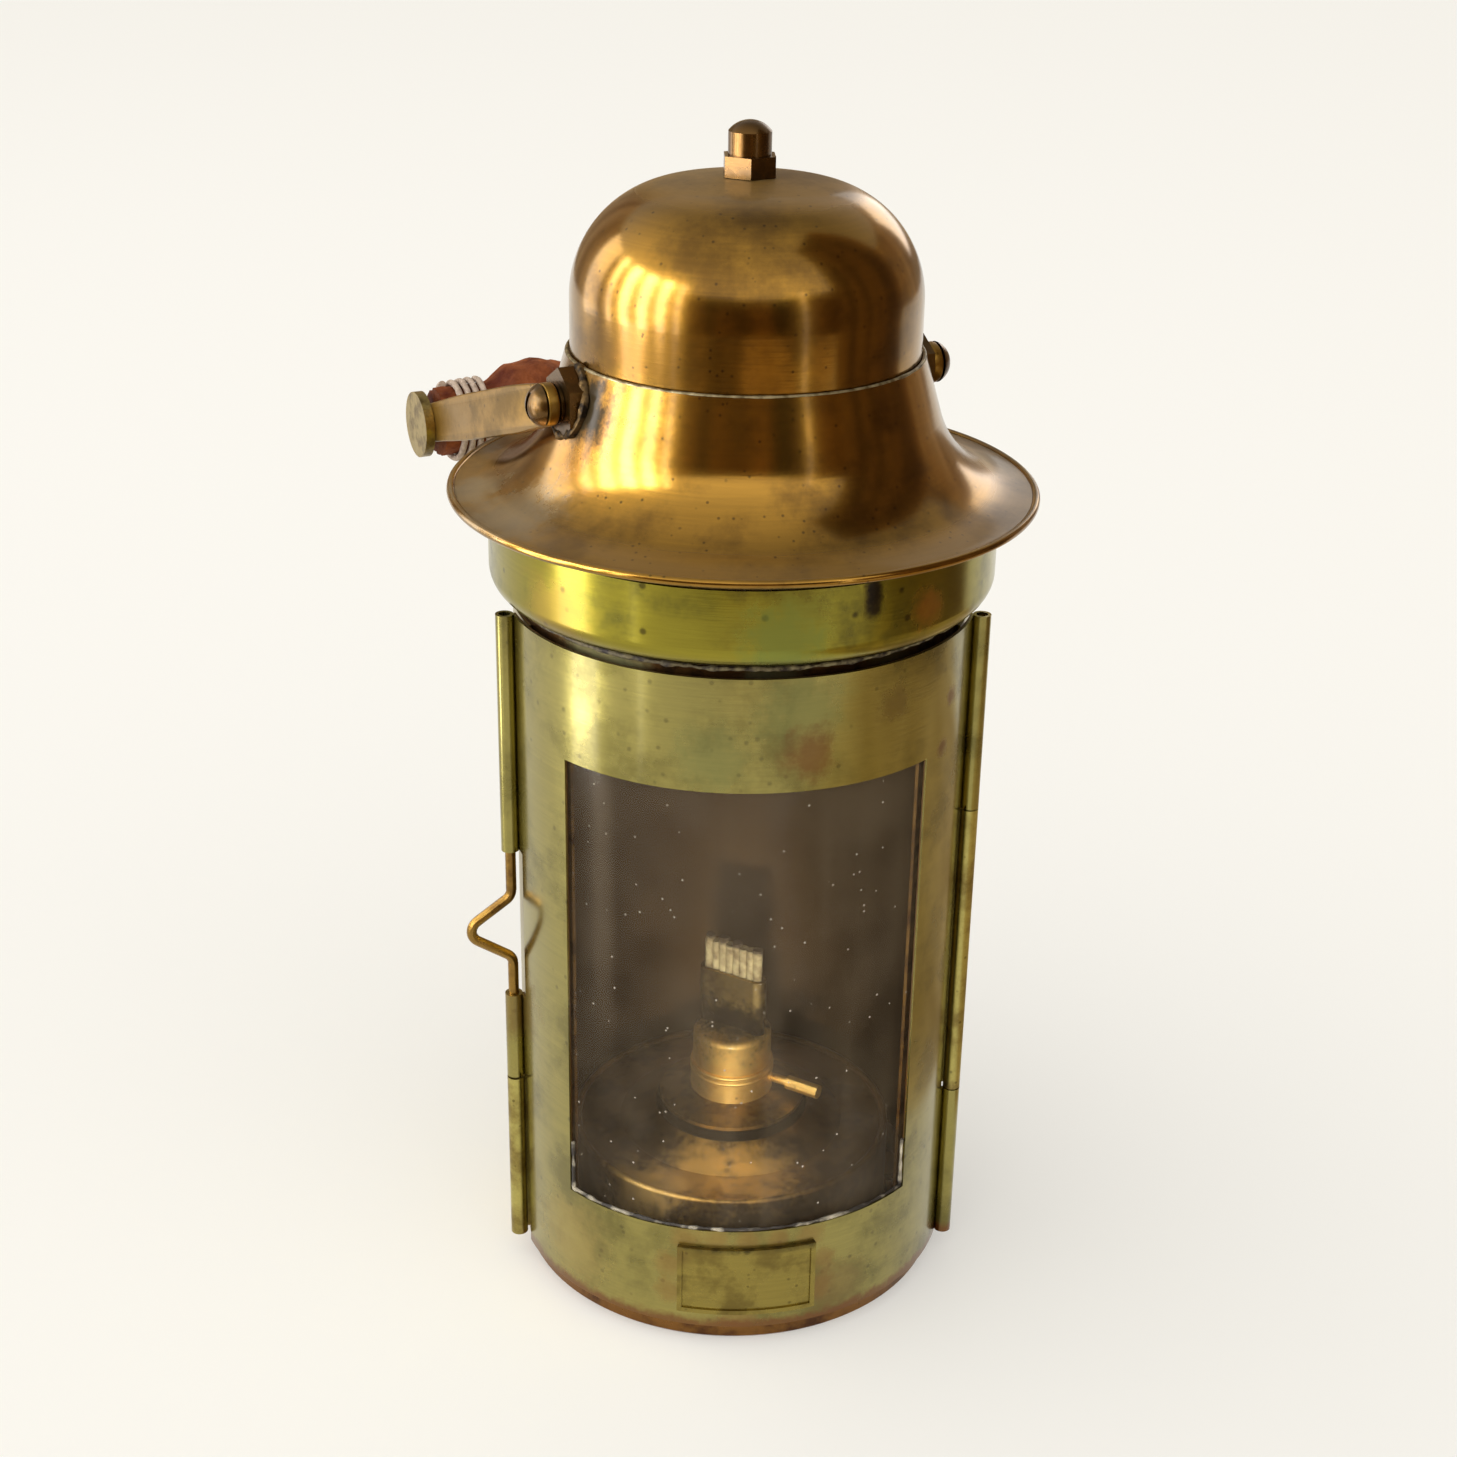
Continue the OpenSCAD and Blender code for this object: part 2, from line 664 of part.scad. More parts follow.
// Curved door sheet with its window, the tubes rolled along its edges and notches between them
module door_sheet() {
    color("#b0a24a") difference() {
        union() {
            difference() {
                arc_wall(door_r, sheet, door_z, door_h, -tube_turn, tube_turn);
                arc_wall(door_r + cut, sheet + 2 * cut, window_z, window_h, -window_half, window_half);
                door_notch(1, hinge_mid_z - knuckle_gap - tab_inset, hinge_up_z + tab_inset);
                door_notch(-1, door_z - cut, guide_z + tab_inset);
                door_notch(-1, guide_z + guide_h - tab_inset, latch_up_z + tab_inset);
            }
            rolled_tube(tube_turn, door_z, hinge_low);
            rolled_tube(tube_turn, hinge_up_z, door_top - hinge_up_z);
            rolled_tube(-tube_turn, guide_z, guide_h);
            rolled_tube(-tube_turn, latch_up_z, door_top - latch_up_z);
        }
        for (side = [-1, 1]) tube_bore(side * tube_turn, door_z, door_h);
    }
}

// A notch in the door's edge where it carries no tube
module door_notch(side, from_z, to_z) {
    past = tube_turn + notch_past;
    arc_wall(door_r + cut, sheet + 2 * cut, from_z, to_z - from_z,
        side > 0 ? door_half : -past, side > 0 ? past : -door_half);
}

module window_glass() {
    color([0.75, 0.78, 0.72, 0.4])
        arc_wall(glass_r, glass_t, glass_z, glass_h, -glass_half, glass_half);
}

// Folded strips soldered to the door, which hold the pane's upright edges
module glass_channels() {
    wall = along(sheet, glass_r);
    bite = along(channel_bite, glass_r);
    pocket = glass_t + glass_play;
    edge = glass_half + along(glass_play, glass_r);
    color("#8a6a2c") for (side = [0, 1]) mirror([side, 0, 0]) difference() {
        arc_wall(glass_r, pocket + sheet, glass_z, glass_h, edge - bite, edge + wall);
        arc_wall(glass_r + cut, pocket + cut, glass_z - cut, glass_h + 2 * cut, 0, edge);
    }
}

// Curved ledge soldered to the door, which carries the pane's lower edge
module glass_ledge() {
    ledge_in = glass_in - glass_play - sheet;
    color("#8a6a2c")
        arc_wall(glass_r, glass_r - ledge_in, glass_z - sheet - solder, sheet, -glass_half, glass_half);
}

// Bare plate with a raised border
module door_plate() {
    half = along(plate_w / 2, door_r);
    border = along(plate_border, door_r);
    plate_z = door_z + plate_rise;
    plate_out = door_r + solder / 2 + plate_t;
    color("#a8984a") difference() {
        arc_wall(plate_out, plate_t, plate_z, plate_h, plate_turn - half, plate_turn + half);
        arc_wall(plate_out + cut, plate_field + cut, plate_z + plate_border, plate_h - 2 * plate_border,
            plate_turn - half + border, plate_turn + half - border);
    }
}

// Middle line of the thumb loop: out along one sloping leg, round the tip and back
function loop_path() =
    let (steep = 90 - loop_slope, upper = loop_z + loop_rise, lower = loop_z - loop_rise)
    concat([[0, upper + loop_tail]], arc([loop_bend, upper], loop_bend, 180, 180 + steep),
        arc([loop_tip_x, loop_z], loop_bend, steep, -steep),
        arc([loop_bend, lower], loop_bend, 180 - steep, 180), [[0, lower - loop_tail]]);

// Latch wire: a straight pin with a thumb loop bent outwards at its middle
module latch_pin() {
    path = [for (p = loop_path()) [p.x, 0, p.y]];
    across = [for (p = path) [0, 1, 0]];
    upper_z = path[0].z - loop_tail;
    lower_z = path[len(path) - 1].z + loop_tail;
    color("#9c8238") polar(-tube_turn) translate([tube_r, 0, 0]) {
        translate([0, 0, upper_z]) cylinder(d = pin_d, h = latch_up_z + latch_head - upper_z);
        translate([0, 0, latch_tip_z]) cylinder(d = pin_d, h = lower_z - latch_tip_z);
        wire(path, across, pin_d - loop_thin, loop_sides);
    }
}

// One flat leg with its pivot eye and rod hole
module bail_leg(side) {
    color("#a58c3e") bail_frame(bail_drop) translate([side > 0 ? leg_in : -leg_out, 0, 0])
        rotate([90, 0, 90]) linear_extrude(leg_t) difference() {
            union() {
                circle(d = leg_w);
                translate([bail_len, 0]) circle(d = leg_tip_w);
                polygon([[0, leg_w / 2], [0, -leg_w / 2], [bail_len, -leg_tip_w / 2],
                    [bail_len, leg_tip_w / 2]]);
            }
            circle(d = screw_d + 2 * run_clear);
            translate([bail_len, 0]) circle(d = rod_d + 2 * solder);
        }
}

module bail_leg_left() {
    bail_leg(-1);
}

module bail_leg_right() {
    bail_leg(1);
}

// Rod through both legs, headed over in a disc at each end
module grip_rod() {
    color("#8f7a3a") bail_frame(bail_drop) translate([0, bail_len, 0]) {
        rotate([0, 90, 0]) cylinder(d = rod_d, h = 2 * leg_out + 2 * solder + disc_t, center = true);
        for (side = [-1, 1]) rotate([0, side * 90, 0])
            translate([0, 0, leg_out + solder]) cylinder(d = disc_d, h = disc_t);
    }
}

// Leather grip, which swells from both ends towards its middle
module grip_leather() {
    step = 2 * grip_half / grip_steps;
    outline = [for (i = [0 : grip_steps]) [grip_end_r + grip_swell(i * step - grip_half), i * step]];
    color("#7a2f22") bail_frame(bail_drop) translate([-grip_half, bail_len, 0]) rotate([0, 90, 0])
        difference() {
            rotate_extrude() polygon(concat([[0, 0]], outline, [[0, 2 * grip_half]]));
            translate([0, 0, -cut]) cylinder(d = rod_d + 2 * solder, h = 2 * grip_half + 2 * cut);
        }
}

// Middle line of a thong that winds round one end of the grip, from the end inwards
thong_path = [for (i = [0 : thong_turns * thong_rings])
    let (turn = 360 * i / thong_rings, x = thong_start - thong_pitch * i / thong_rings)
    [x, (thong_r + grip_swell(x)) * cos(turn), (thong_r + grip_swell(x)) * sin(turn)]];

// How far the grip has swollen at a distance from its middle
function grip_swell(x) = (grip_mid_r - grip_end_r) * pow(cos(90 * x / grip_half), 2);

// Least gap between points a turn or more apart along the thong
thong_gap = min([for (i = [0 : len(thong_path) - 1], j = [0 : len(thong_path) - 1])
    if (j - i > thong_rings / 2) norm(thong_path[i] - thong_path[j])]) - thong_d;
echo(thong_gap = thong_gap);

module grip_thongs() {
    outward = [for (p = thong_path) [0, p.y, p.z]];
    color("#8d8577") bail_frame(bail_drop) translate([0, bail_len, 0])
        for (side = [0, 180]) rotate([0, 0, side]) wire(thong_path, outward, thong_d, thong_sides);
}

// Bottom and wall of the oil font
module font_bowl() {
    font_in = font_r - sheet;
    color("#8a6426") rotate_extrude() polygon([[0, font_z], [font_r - sheet, font_z],
        [font_r, font_z + sheet], [font_r, font_top_z], [font_in, font_top_z],
        [font_in, font_z + sheet], [0, font_z + sheet]]);
}

// Lid of the font: a rolled bead, a flat ring and a raised cone with the filling hole
module font_top() {
    hole_r = thread_r + solder;
    color("#96702c") rotate_extrude() {
        polygon([[hole_r, cone_top_z - sheet], [cone_top_r, cone_top_z - sheet], [cone_r, font_top_z],
            [font_r, font_top_z], [font_r, font_top_z + sheet], [cone_r, font_top_z + sheet],
            [cone_top_r, cone_top_z], [hole_r, cone_top_z]]);
        translate([font_r - font_bead, font_top_z + font_bead]) circle(r = font_bead);
    }
}

// Ring soldered on the lid that the burner screws into
module font_collar() {
    color("#96702c") translate([0, 0, cone_top_z]) difference() {
        cylinder(r = cone_top_r - sheet, h = collar_ring_h);
        translate([0, 0, -cut]) cylinder(r = thread_r + solder, h = collar_ring_h + 2 * cut);
    }
}

// The slot that the wick tube is soldered in
module wick_slot(z, h) {
    burner_frame() translate([0, 0, z]) linear_extrude(h)
        oblong(wick_tube_w + 2 * solder, wick_tube_t + 2 * solder);
}

// Screwed neck, floor and flange of the burner
module burner_base() {
    neck_in = thread_r - sheet;
    color("#a87c30") difference() {
        rotate_extrude() polygon([[0, web_z], [neck_in, web_z], [neck_in, flange_z - thread_h],
            [thread_r, flange_z - thread_h], [thread_r, flange_z], [flange_r, flange_z],
            [flange_r, flange_z + flange_t], [cap_r, skirt_top_z], [cap_r - cap_t, skirt_top_z],
            [cap_r - cap_t, web_z + web_t], [0, web_z + web_t]]);
        wick_slot(web_z - cut, web_t + 2 * cut);
    }
}

// Drawn cap in two steps, with two beads, a slot for the wick tube and bearings for the spindle
module burner_cap() {
    bead = 0.5;
    bead_pitch = 1.5;
    shoulder = [cap_top_r - cap_round, cap_top_z - cap_round];
    color("#b98a3a") difference() {
        rotate_extrude() {
            polygon(concat([[0, cap_top_z + cap_crown - cap_t]], arc(shoulder, cap_round - cap_t, 90, 0),
                [[cap_top_r - cap_t, tier_z - cap_t], [cap_r - cap_t, tier_z - cap_t],
                [cap_r - cap_t, skirt_top_z], [cap_r, skirt_top_z], [cap_r, tier_z], [cap_top_r, tier_z]],
                arc(shoulder, cap_round, 0, 90), [[0, cap_top_z + cap_crown]]));
            for (k = [0, 1]) translate([cap_r - bead / 2, tier_z - bead - k * bead_pitch]) circle(r = bead);
        }
        wick_slot(shoulder.y, cap_round + cap_crown + cap_t);
        on_spindle(0) cylinder(d = spindle_d + 2 * run_clear, h = 2 * cap_r, center = true);
    }
}

// Flat tube for the wick, with a sleeve at its mouth and slots for the toothed wheels
module wick_tube() {
    slot_w = wheel_w + 2 * move_gap;
    slot_h = 2 * (wheel_r + move_gap);
    color("#7d6030") burner_frame() difference() {
        union() {
            translate([0, 0, wick_tube_z])
                linear_extrude(wick_tube_top - wick_tube_z) oblong(wick_tube_w, wick_tube_t);
            translate([0, 0, wick_tube_top - sleeve_h])
                linear_extrude(sleeve_h) oblong(wick_tube_w + 2 * sleeve_t, wick_tube_t + 2 * sleeve_t);
        }
        translate([0, 0, wick_tube_z - cut])
            linear_extrude(wick_tube_top - wick_tube_z + 2 * cut)
                oblong(wick_w + 2 * wick_play, wick_t + 2 * wick_play);
        for (side = [-1, 1]) translate([side * wheel_x - slot_w / 2, 0, spindle_z - slot_h / 2])
            cube([slot_w, wick_tube_t, slot_h]);
    }
}

module wick() {
    color("#cfc8b8") burner_frame() translate([0, 0, wick_z])
        linear_extrude(wick_top - wick_z) oblong(wick_w, wick_t);
}

module wick_spindle() {
    color("#b08a44") on_spindle(-spindle_end)
        cylinder(d = spindle_d, h = spindle_end + spindle_reach - sheet);
}

// Toothed wheels fixed on the spindle, which grip the wick through the tube's slots
module wick_wheels() {
    root_r = wheel_r - tooth_h;
    color("#a87c30") for (side = [-1, 1]) on_spindle(side * wheel_x - wheel_w / 2) difference() {
        union() {
            cylinder(r = root_r, h = wheel_w);
            for (k = [1 : wheel_teeth]) rotate([0, 0, 360 * k / wheel_teeth])
                translate([0, -tooth_w / 2, 0]) cube([wheel_r, tooth_w, wheel_w]);
        }
        translate([0, 0, -cut]) cylinder(d = spindle_d + 2 * solder, h = wheel_w + 2 * cut);
    }
}

// Faceted knob on the end of the spindle
module wick_knob() {
    color("#c09a54") on_spindle(spindle_reach - knob_l) difference() {
        cylinder(d = knob_d, h = knob_l, $fn = 12);
        translate([0, 0, -cut]) cylinder(d = spindle_d + 2 * solder, h = knob_l - sheet + solder + cut);
    }
}

base_pan();
font_seat();
body_shell();
top_ring();
body_knuckle();
latch_keeper();
hinge_pin();
collar();
hood_struts();
bell();
dome();
cap_bridge();
cap_stud();
acorn_nut();
pivot_nuts();
pivot_screws();
door_sheet();
window_glass();
glass_channels();
glass_ledge();
door_plate();
latch_pin();
bail_leg_left();
bail_leg_right();
grip_rod();
grip_leather();
grip_thongs();
font_bowl();
font_top();
font_collar();
burner_base();
burner_cap();
wick_tube();
wick();
wick_spindle();
wick_wheels();
wick_knob();
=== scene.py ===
import json
import math

import bmesh
import bpy
from mathutils import Matrix, Vector, noise


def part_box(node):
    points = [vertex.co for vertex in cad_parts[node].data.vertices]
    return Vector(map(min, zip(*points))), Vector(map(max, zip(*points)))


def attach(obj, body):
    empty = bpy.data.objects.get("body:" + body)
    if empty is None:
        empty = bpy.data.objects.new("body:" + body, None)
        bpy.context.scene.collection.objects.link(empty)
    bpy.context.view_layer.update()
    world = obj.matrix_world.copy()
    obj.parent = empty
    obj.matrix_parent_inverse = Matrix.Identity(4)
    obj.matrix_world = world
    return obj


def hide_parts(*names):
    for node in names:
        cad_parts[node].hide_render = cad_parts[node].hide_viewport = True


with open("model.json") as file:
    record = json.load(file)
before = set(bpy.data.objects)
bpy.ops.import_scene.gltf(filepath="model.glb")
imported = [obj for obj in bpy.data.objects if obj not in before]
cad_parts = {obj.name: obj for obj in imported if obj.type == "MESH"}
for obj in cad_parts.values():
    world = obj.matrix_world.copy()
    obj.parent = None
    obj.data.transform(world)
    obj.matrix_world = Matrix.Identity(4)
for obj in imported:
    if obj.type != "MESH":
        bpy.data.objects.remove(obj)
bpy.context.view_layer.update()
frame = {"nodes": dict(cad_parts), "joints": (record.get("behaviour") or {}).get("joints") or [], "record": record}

# Base pan: the spun brass pan that the lantern stands on, with a step that carries the shell.
# Lamp oil and damp have turned its rim copper-brown, so it is the reddest metal outside.
mm = 0.001


def linear(colour):
    """An sRGB hex colour as linear RGBA."""
    parts = [int(colour[i:i + 2], 16) / 255 for i in (0, 2, 4)]
    return [p / 12.92 if p < 0.04045 else ((p + 0.055) / 1.055) ** 2.4 for p in parts] + [1.0]


def add(tree, kind, inputs=None, **settings):
    """Adds a node with its settings, and sets or links its inputs."""
    node = tree.nodes.new(kind)
    for name, value in settings.items():
        setattr(node, name, value)
    for name, value in (inputs or {}).items():
        if isinstance(value, bpy.types.NodeSocket):
            tree.links.new(value, node.inputs[name])
        else:
            node.inputs[name].default_value = value
    return node


def blank_material(name):
    """A material with an empty node tree, and the Object coordinates that its patterns read."""
    material = bpy.data.materials.new(name)
    material.use_nodes = True
    tree = material.node_tree
    tree.nodes.clear()
    return material, tree, add(tree, "ShaderNodeTexCoord").outputs["Object"]


def aged_brass(name, metal, tarnish, cloud, share=0.5, gloss=(0.2, 0.36), streak=0.6 * mm, wobble=0.0,
               speck=2.4 * mm, specks=0.5, stains_and_painted_light=(), soot_and_shade=None, creep=None, dust=None, wax=0.2):
    """Brass under an uneven tarnish: soft clouds of colour, fine marks round the axis, dark pits.

    The marks are lathe and polishing lines, drawn coarser than real ones so that they show.
    A stain is a place, a radius, a colour and a strength: most are marks on the metal, some are
    painted highlight or painted shade. Soot and shade is a radius and a colour: all that lies nearer
    to the axis than that radius is darkened, by soot on some pieces and by painted shade on others.
    Creep is a height and a colour: oil and damp have crept up to that height. Dust is a colour and a
    strength, and settles on what faces up.
    Wax is the thin clear film of old polish, which whitens the highlights.
    """
    material, tree, place = blank_material(name)
    clouds = add(tree, "ShaderNodeTexNoise", {
        "Vector": place, "Scale": 1 / cloud, "Detail": 6.0, "Roughness": 0.62}).outputs["Fac"]
    low = 0.62 - 0.4 * share
    patina = add(tree, "ShaderNodeMapRange", {
        "Value": clouds, "From Min": low, "From Max": low + 0.24}, interpolation_type="SMOOTHSTEP")
    colour = add(tree, "ShaderNodeMix", {
        0: patina.outputs[0], 6: linear(metal), 7: linear(tarnish)}, data_type="RGBA").outputs[2]

    level = add(tree, "ShaderNodeVectorMath", {0: place, 1: (1, 1, 0)}, operation="MULTIPLY")
    radius = add(tree, "ShaderNodeVectorMath", {
        0: level.outputs[0]}, operation="LENGTH").outputs["Value"]
    slant = add(tree, "ShaderNodeVectorMath", {0: place, 1: (0.05, 0.03, 0)}, operation="DOT_PRODUCT")
    height = add(tree, "ShaderNodeSeparateXYZ", {0: place}).outputs["Z"]
    turned = add(tree, "ShaderNodeCombineXYZ", {"X": radius, "Y": slant.outputs["Value"], "Z": height})
    marks = add(tree, "ShaderNodeTexNoise", {
        "Vector": turned.outputs[0], "Scale": 1 / streak, "Detail": 3.0}).outputs["Fac"]
    colour = add(tree, "ShaderNodeMix", {
        0: 0.16, 6: colour, 7: marks}, data_type="RGBA", blend_type="OVERLAY").outputs[2]

    cells = add(tree, "ShaderNodeTexVoronoi", {"Vector": place, "Scale": 1 / speck})
    pit = add(tree, "ShaderNodeMapRange", {
        "Value": cells.outputs["Distance"], "From Min": 0.1, "From Max": 0.2,
        "To Min": specks, "To Max": 0.0}).outputs[0]
    chosen = add(tree, "ShaderNodeMapRange", {
        "Value": cells.outputs["Color"], "From Min": 0.5, "From Max": 0.62}).outputs[0]
    pits = add(tree, "ShaderNodeMath", {0: pit, 1: chosen}, operation="MULTIPLY").outputs[0]
    layers = [(pits, "241608", 0.0)]

    ragged = add(tree, "ShaderNodeTexNoise", {
        "Vector": place, "Scale": 1 / (4 * mm), "Detail": 5.0, "Roughness": 0.7}).outputs["Fac"]
    for centre, reach, tint, strength in stains_and_painted_light:
        away = add(tree, "ShaderNodeVectorMath", {
            0: place, 1: [c * mm for c in centre]}, operation="DISTANCE").outputs["Value"]
        torn = add(tree, "ShaderNodeMath", {
            0: ragged, 1: 1.3 * reach * mm, 2: away}, operation="MULTIPLY_ADD").outputs[0]
        stain_and_painted_light = add(tree, "ShaderNodeMapRange", {
            "Value": torn, "From Min": 0.9 * reach * mm, "From Max": 1.6 * reach * mm,
            "To Min": strength, "To Max": 0.0}, interpolation_type="SMOOTHSTEP").outputs[0]
        layers.append((stain_and_painted_light, tint, 0.22))
    if soot_and_shade:
        wall, tint = soot_and_shade
        inside = add(tree, "ShaderNodeMapRange", {
            "Value": radius, "From Min": wall - 0.15 * mm, "From Max": wall + 0.15 * mm,
            "To Min": 1.0, "To Max": 0.0}).outputs[0]
        layers.append((inside, tint, 0.25))
    if creep:
        reach, tint = creep
        torn = add(tree, "ShaderNodeMath", {
            0: ragged, 1: 5 * mm, 2: height}, operation="MULTIPLY_ADD").outputs[0]
        crept = add(tree, "ShaderNodeMapRange", {
            "Value": torn, "From Min": reach + 1.5 * mm, "From Max": reach + 4 * mm,
            "To Min": 0.85, "To Max": 0.0}, interpolation_type="SMOOTHSTEP").outputs[0]
        layers.append((crept, tint, 0.0))
    metallic = 1.0
    if dust:
        tint, strength = dust
        facing = add(tree, "ShaderNodeTexCoord").outputs["Normal"]
        upward = add(tree, "ShaderNodeSeparateXYZ", {0: facing}).outputs["Z"]
        settled = add(tree, "ShaderNodeMapRange", {
            "Value": upward, "From Min": 0.86, "From Max": 1.0,
            "To Min": 0.0, "To Max": strength}, interpolation_type="SMOOTHSTEP").outputs[0]
        layers.append((settled, tint, 0.7))
        metallic = add(tree, "ShaderNodeMath", {
            0: settled, 1: -1.2, 2: 1.0}, operation="MULTIPLY_ADD").outputs[0]

    rough = add(tree, "ShaderNodeMapRange", {
        "Value": clouds, "From Min": 0.3, "From Max": 0.7,
        "To Min": gloss[0], "To Max": gloss[1]}).outputs[0]
    for cover, tint, dulling in layers:
        colour = add(tree, "ShaderNodeMix", {
            0: cover, 6: colour, 7: linear(tint)}, data_type="RGBA").outputs[2]
        if dulling:
            rough = add(tree, "ShaderNodeMath", {
                0: cover, 1: dulling, 2: rough}, operation="MULTIPLY_ADD").outputs[0]

    relief = add(tree, "ShaderNodeMath", {0: pits, 1: -0.8, 2: marks}, operation="MULTIPLY_ADD")
    surface = add(tree, "ShaderNodeBump", {
        "Height": relief.outputs[0], "Strength": 0.35, "Distance": 0.03 * mm}).outputs[0]
    if wobble:
        swell = add(tree, "ShaderNodeTexNoise", {"Vector": place, "Scale": 1 / (26 * mm), "Detail": 1.0})
        surface = add(tree, "ShaderNodeBump", {
            "Height": swell.outputs["Fac"], "Strength": 1.0, "Distance": wobble,
            "Normal": surface}).outputs[0]
    shader = add(tree, "ShaderNodeBsdfPrincipled", {
        "Base Color": colour, "Metallic": metallic, "Roughness": rough, "Normal": surface,
        "Coat Weight": wax, "Coat Roughness": 0.14})
    add(tree, "ShaderNodeOutputMaterial", {"Surface": shader.outputs[0]})
    return material


def dress(material, *names):
    """Gives CAD pieces their finish."""
    for name in names:
        mesh = frame["nodes"][name].data
        mesh.materials.clear()
        mesh.materials.append(material)


dress(aged_brass("spun_brass_oil_browned", "7E5626", "4A2C16", cloud=9 * mm, gloss=(0.24, 0.42)),
      "base_pan")

# Font seat, struts, bridge and stud: plain brass strip and ring, soldered up inside the lantern.
# No one polishes them, so they are dull, brown and sooty.
dress(aged_brass("brass_strip_sooted", "5C4020", "2C1C0E", cloud=7 * mm, share=0.6, gloss=(0.4, 0.6)),
      "font_seat", "hood_struts", "cap_bridge", "cap_stud")

# Body shell: sheet brass rolled round the base and open in front, with tubes for hinge and latch.
# Outside it has an olive-yellow tarnish, inside it is brown with soot.
shell_soot_r = 50.0 * mm
dress(aged_brass("rolled_brass_olive", "90803C", "7C6C32", cloud=30 * mm, wobble=0.35 * mm,
                 soot_and_shade=(shell_soot_r, "5A4226"), stains_and_painted_light=[((38, 34, 120), 12, "7C5428", 0.7),
                                                        ((-20, 46, 60), 9, "7C5428", 0.6)]),
      "body_shell")
tube_brass = aged_brass("rolled_brass_tube", "B0A45C", "7C6A36", cloud=12 * mm, gloss=(0.26, 0.42),
                        stains_and_painted_light=[((51.5, -15.2, 16), 16, "6B4420", 0.75),
                                ((51.5, -15.2, 46), 4, "5A3818", 0.7)])
dress(tube_brass, "body_knuckle", "latch_keeper")
dress(aged_brass("drawn_brass_wire", "8C6C30", "5E421E", cloud=8 * mm, gloss=(0.24, 0.4)),
      "hinge_pin", "latch_pin")

# Top ring: the brass band inside the shell that carries collar and hood. The solder round it has
# bloomed, so a grey-green crust sits in the groove above the door.
dress(aged_brass("brass_band_verdigris", "4A3219", "24180D", cloud=5 * mm, gloss=(0.35, 0.6),
                 stains_and_painted_light=[((-30, -39, 167), 16, "6A6848", 0.7), ((4, -49, 165.5), 9, "5A5A40", 0.6),
                         ((30, -39, 168), 10, "545236", 0.5)]),
      "top_ring")

# Collar, bell and dome: thin brass sheet spun on a lathe. The collar is a trough with a rounded
# foot, the bell flares into a brim with a rolled bead, and the dome slips inside the bell's lip.
sheet = 0.8 * mm


def arc(centre, r, start, end, count=40):
    """Points of an arc, with angles in degrees from +X."""
    turns = [math.radians(start + (end - start) * i / count) for i in range(count + 1)]
    return [(centre[0] + r * math.cos(t), centre[1] + r * math.sin(t)) for t in turns]


def new_tree(name, takes, start=None):
    """A Geometry Nodes tree with its named inputs, their sockets' identifiers and their outputs."""
    tree = bpy.data.node_groups.new(name, "GeometryNodeTree")
    if start:
        tree.interface.new_socket(start, in_out="INPUT", socket_type="NodeSocketGeometry")
    sockets = {}
    for label, kind in dict(takes, Finish="Material").items():
        socket = tree.interface.new_socket(label, in_out="INPUT", socket_type="NodeSocket" + kind)
        sockets[label] = socket.identifier
    tree.interface.new_socket("Piece", in_out="OUTPUT", socket_type="NodeSocketGeometry")
    return tree, sockets, add(tree, "NodeGroupInput").outputs


def end_tree(tree, given, geometry):
    """Ends a tree with real geometry in the given finish."""
    whole = add(tree, "GeometryNodeRealizeInstances", {"Geometry": geometry})
    finished = add(tree, "GeometryNodeSetMaterial", {
        "Geometry": whole.outputs[0], "Material": given["Finish"]})
    add(tree, "NodeGroupOutput", {"Piece": finished.outputs[0]})


spinning, spun_sockets, given = new_tree("spun_sheet", {
    "Segments": "Int", "Core": "Float", "Dent": "Float", "Dent size": "Float"}, start="Outline")
section = add(spinning, "GeometryNodeMeshToCurve", {"Mesh": given["Outline"]})
lathe = add(spinning, "GeometryNodeCurvePrimitiveCircle", {
    "Resolution": given["Segments"], "Radius": given["Core"]})
spun_wall = add(spinning, "GeometryNodeCurveToMesh", {
    "Curve": lathe.outputs["Curve"], "Profile Curve": section.outputs["Curve"]})
point = add(spinning, "GeometryNodeInputPosition").outputs[0]
pattern_scale = add(spinning, "ShaderNodeMath", {0: 1.0, 1: given["Dent size"]}, operation="DIVIDE")
bumps = add(spinning, "ShaderNodeTexNoise", {
    "Vector": point, "Scale": pattern_scale.outputs[0], "Detail": 1.0})
centred = add(spinning, "ShaderNodeMath", {0: bumps.outputs["Fac"], 1: 0.5}, operation="SUBTRACT")
depth = add(spinning, "ShaderNodeMath", {0: centred.outputs[0], 1: given["Dent"]}, operation="MULTIPLY")
outward = add(spinning, "ShaderNodeVectorMath", {0: point, 1: (1, 1, 0)}, operation="MULTIPLY")
outward = add(spinning, "ShaderNodeVectorMath", {0: outward.outputs[0]}, operation="NORMALIZE")
push = add(spinning, "ShaderNodeVectorMath", {
    0: outward.outputs[0], "Scale": depth.outputs[0]}, operation="SCALE")
dented = add(spinning, "GeometryNodeSetPosition", {
    "Geometry": spun_wall.outputs["Mesh"], "Offset": push.outputs[0]})
end_tree(spinning, given, dented.outputs[0])


def put(name, data):
    """Puts a mesh, curve, light or camera in the scene."""
    thing = bpy.data.objects.new(name, data)
    bpy.context.scene.collection.objects.link(thing)
    return thing


def show(name, mesh, sharp=40):
    """Puts a mesh in the scene with its faces outwards, smooth but for its sharp edges."""
    work = bmesh.new()
    work.from_mesh(mesh)
    bmesh.ops.remove_doubles(work, verts=work.verts, dist=0.001 * mm)
    bmesh.ops.recalc_face_normals(work, faces=work.faces)
    work.to_mesh(mesh)
    work.free()
    mesh.shade_smooth()
    mesh.set_sharp_from_angle(angle=math.radians(sharp))
    return put(name, mesh)


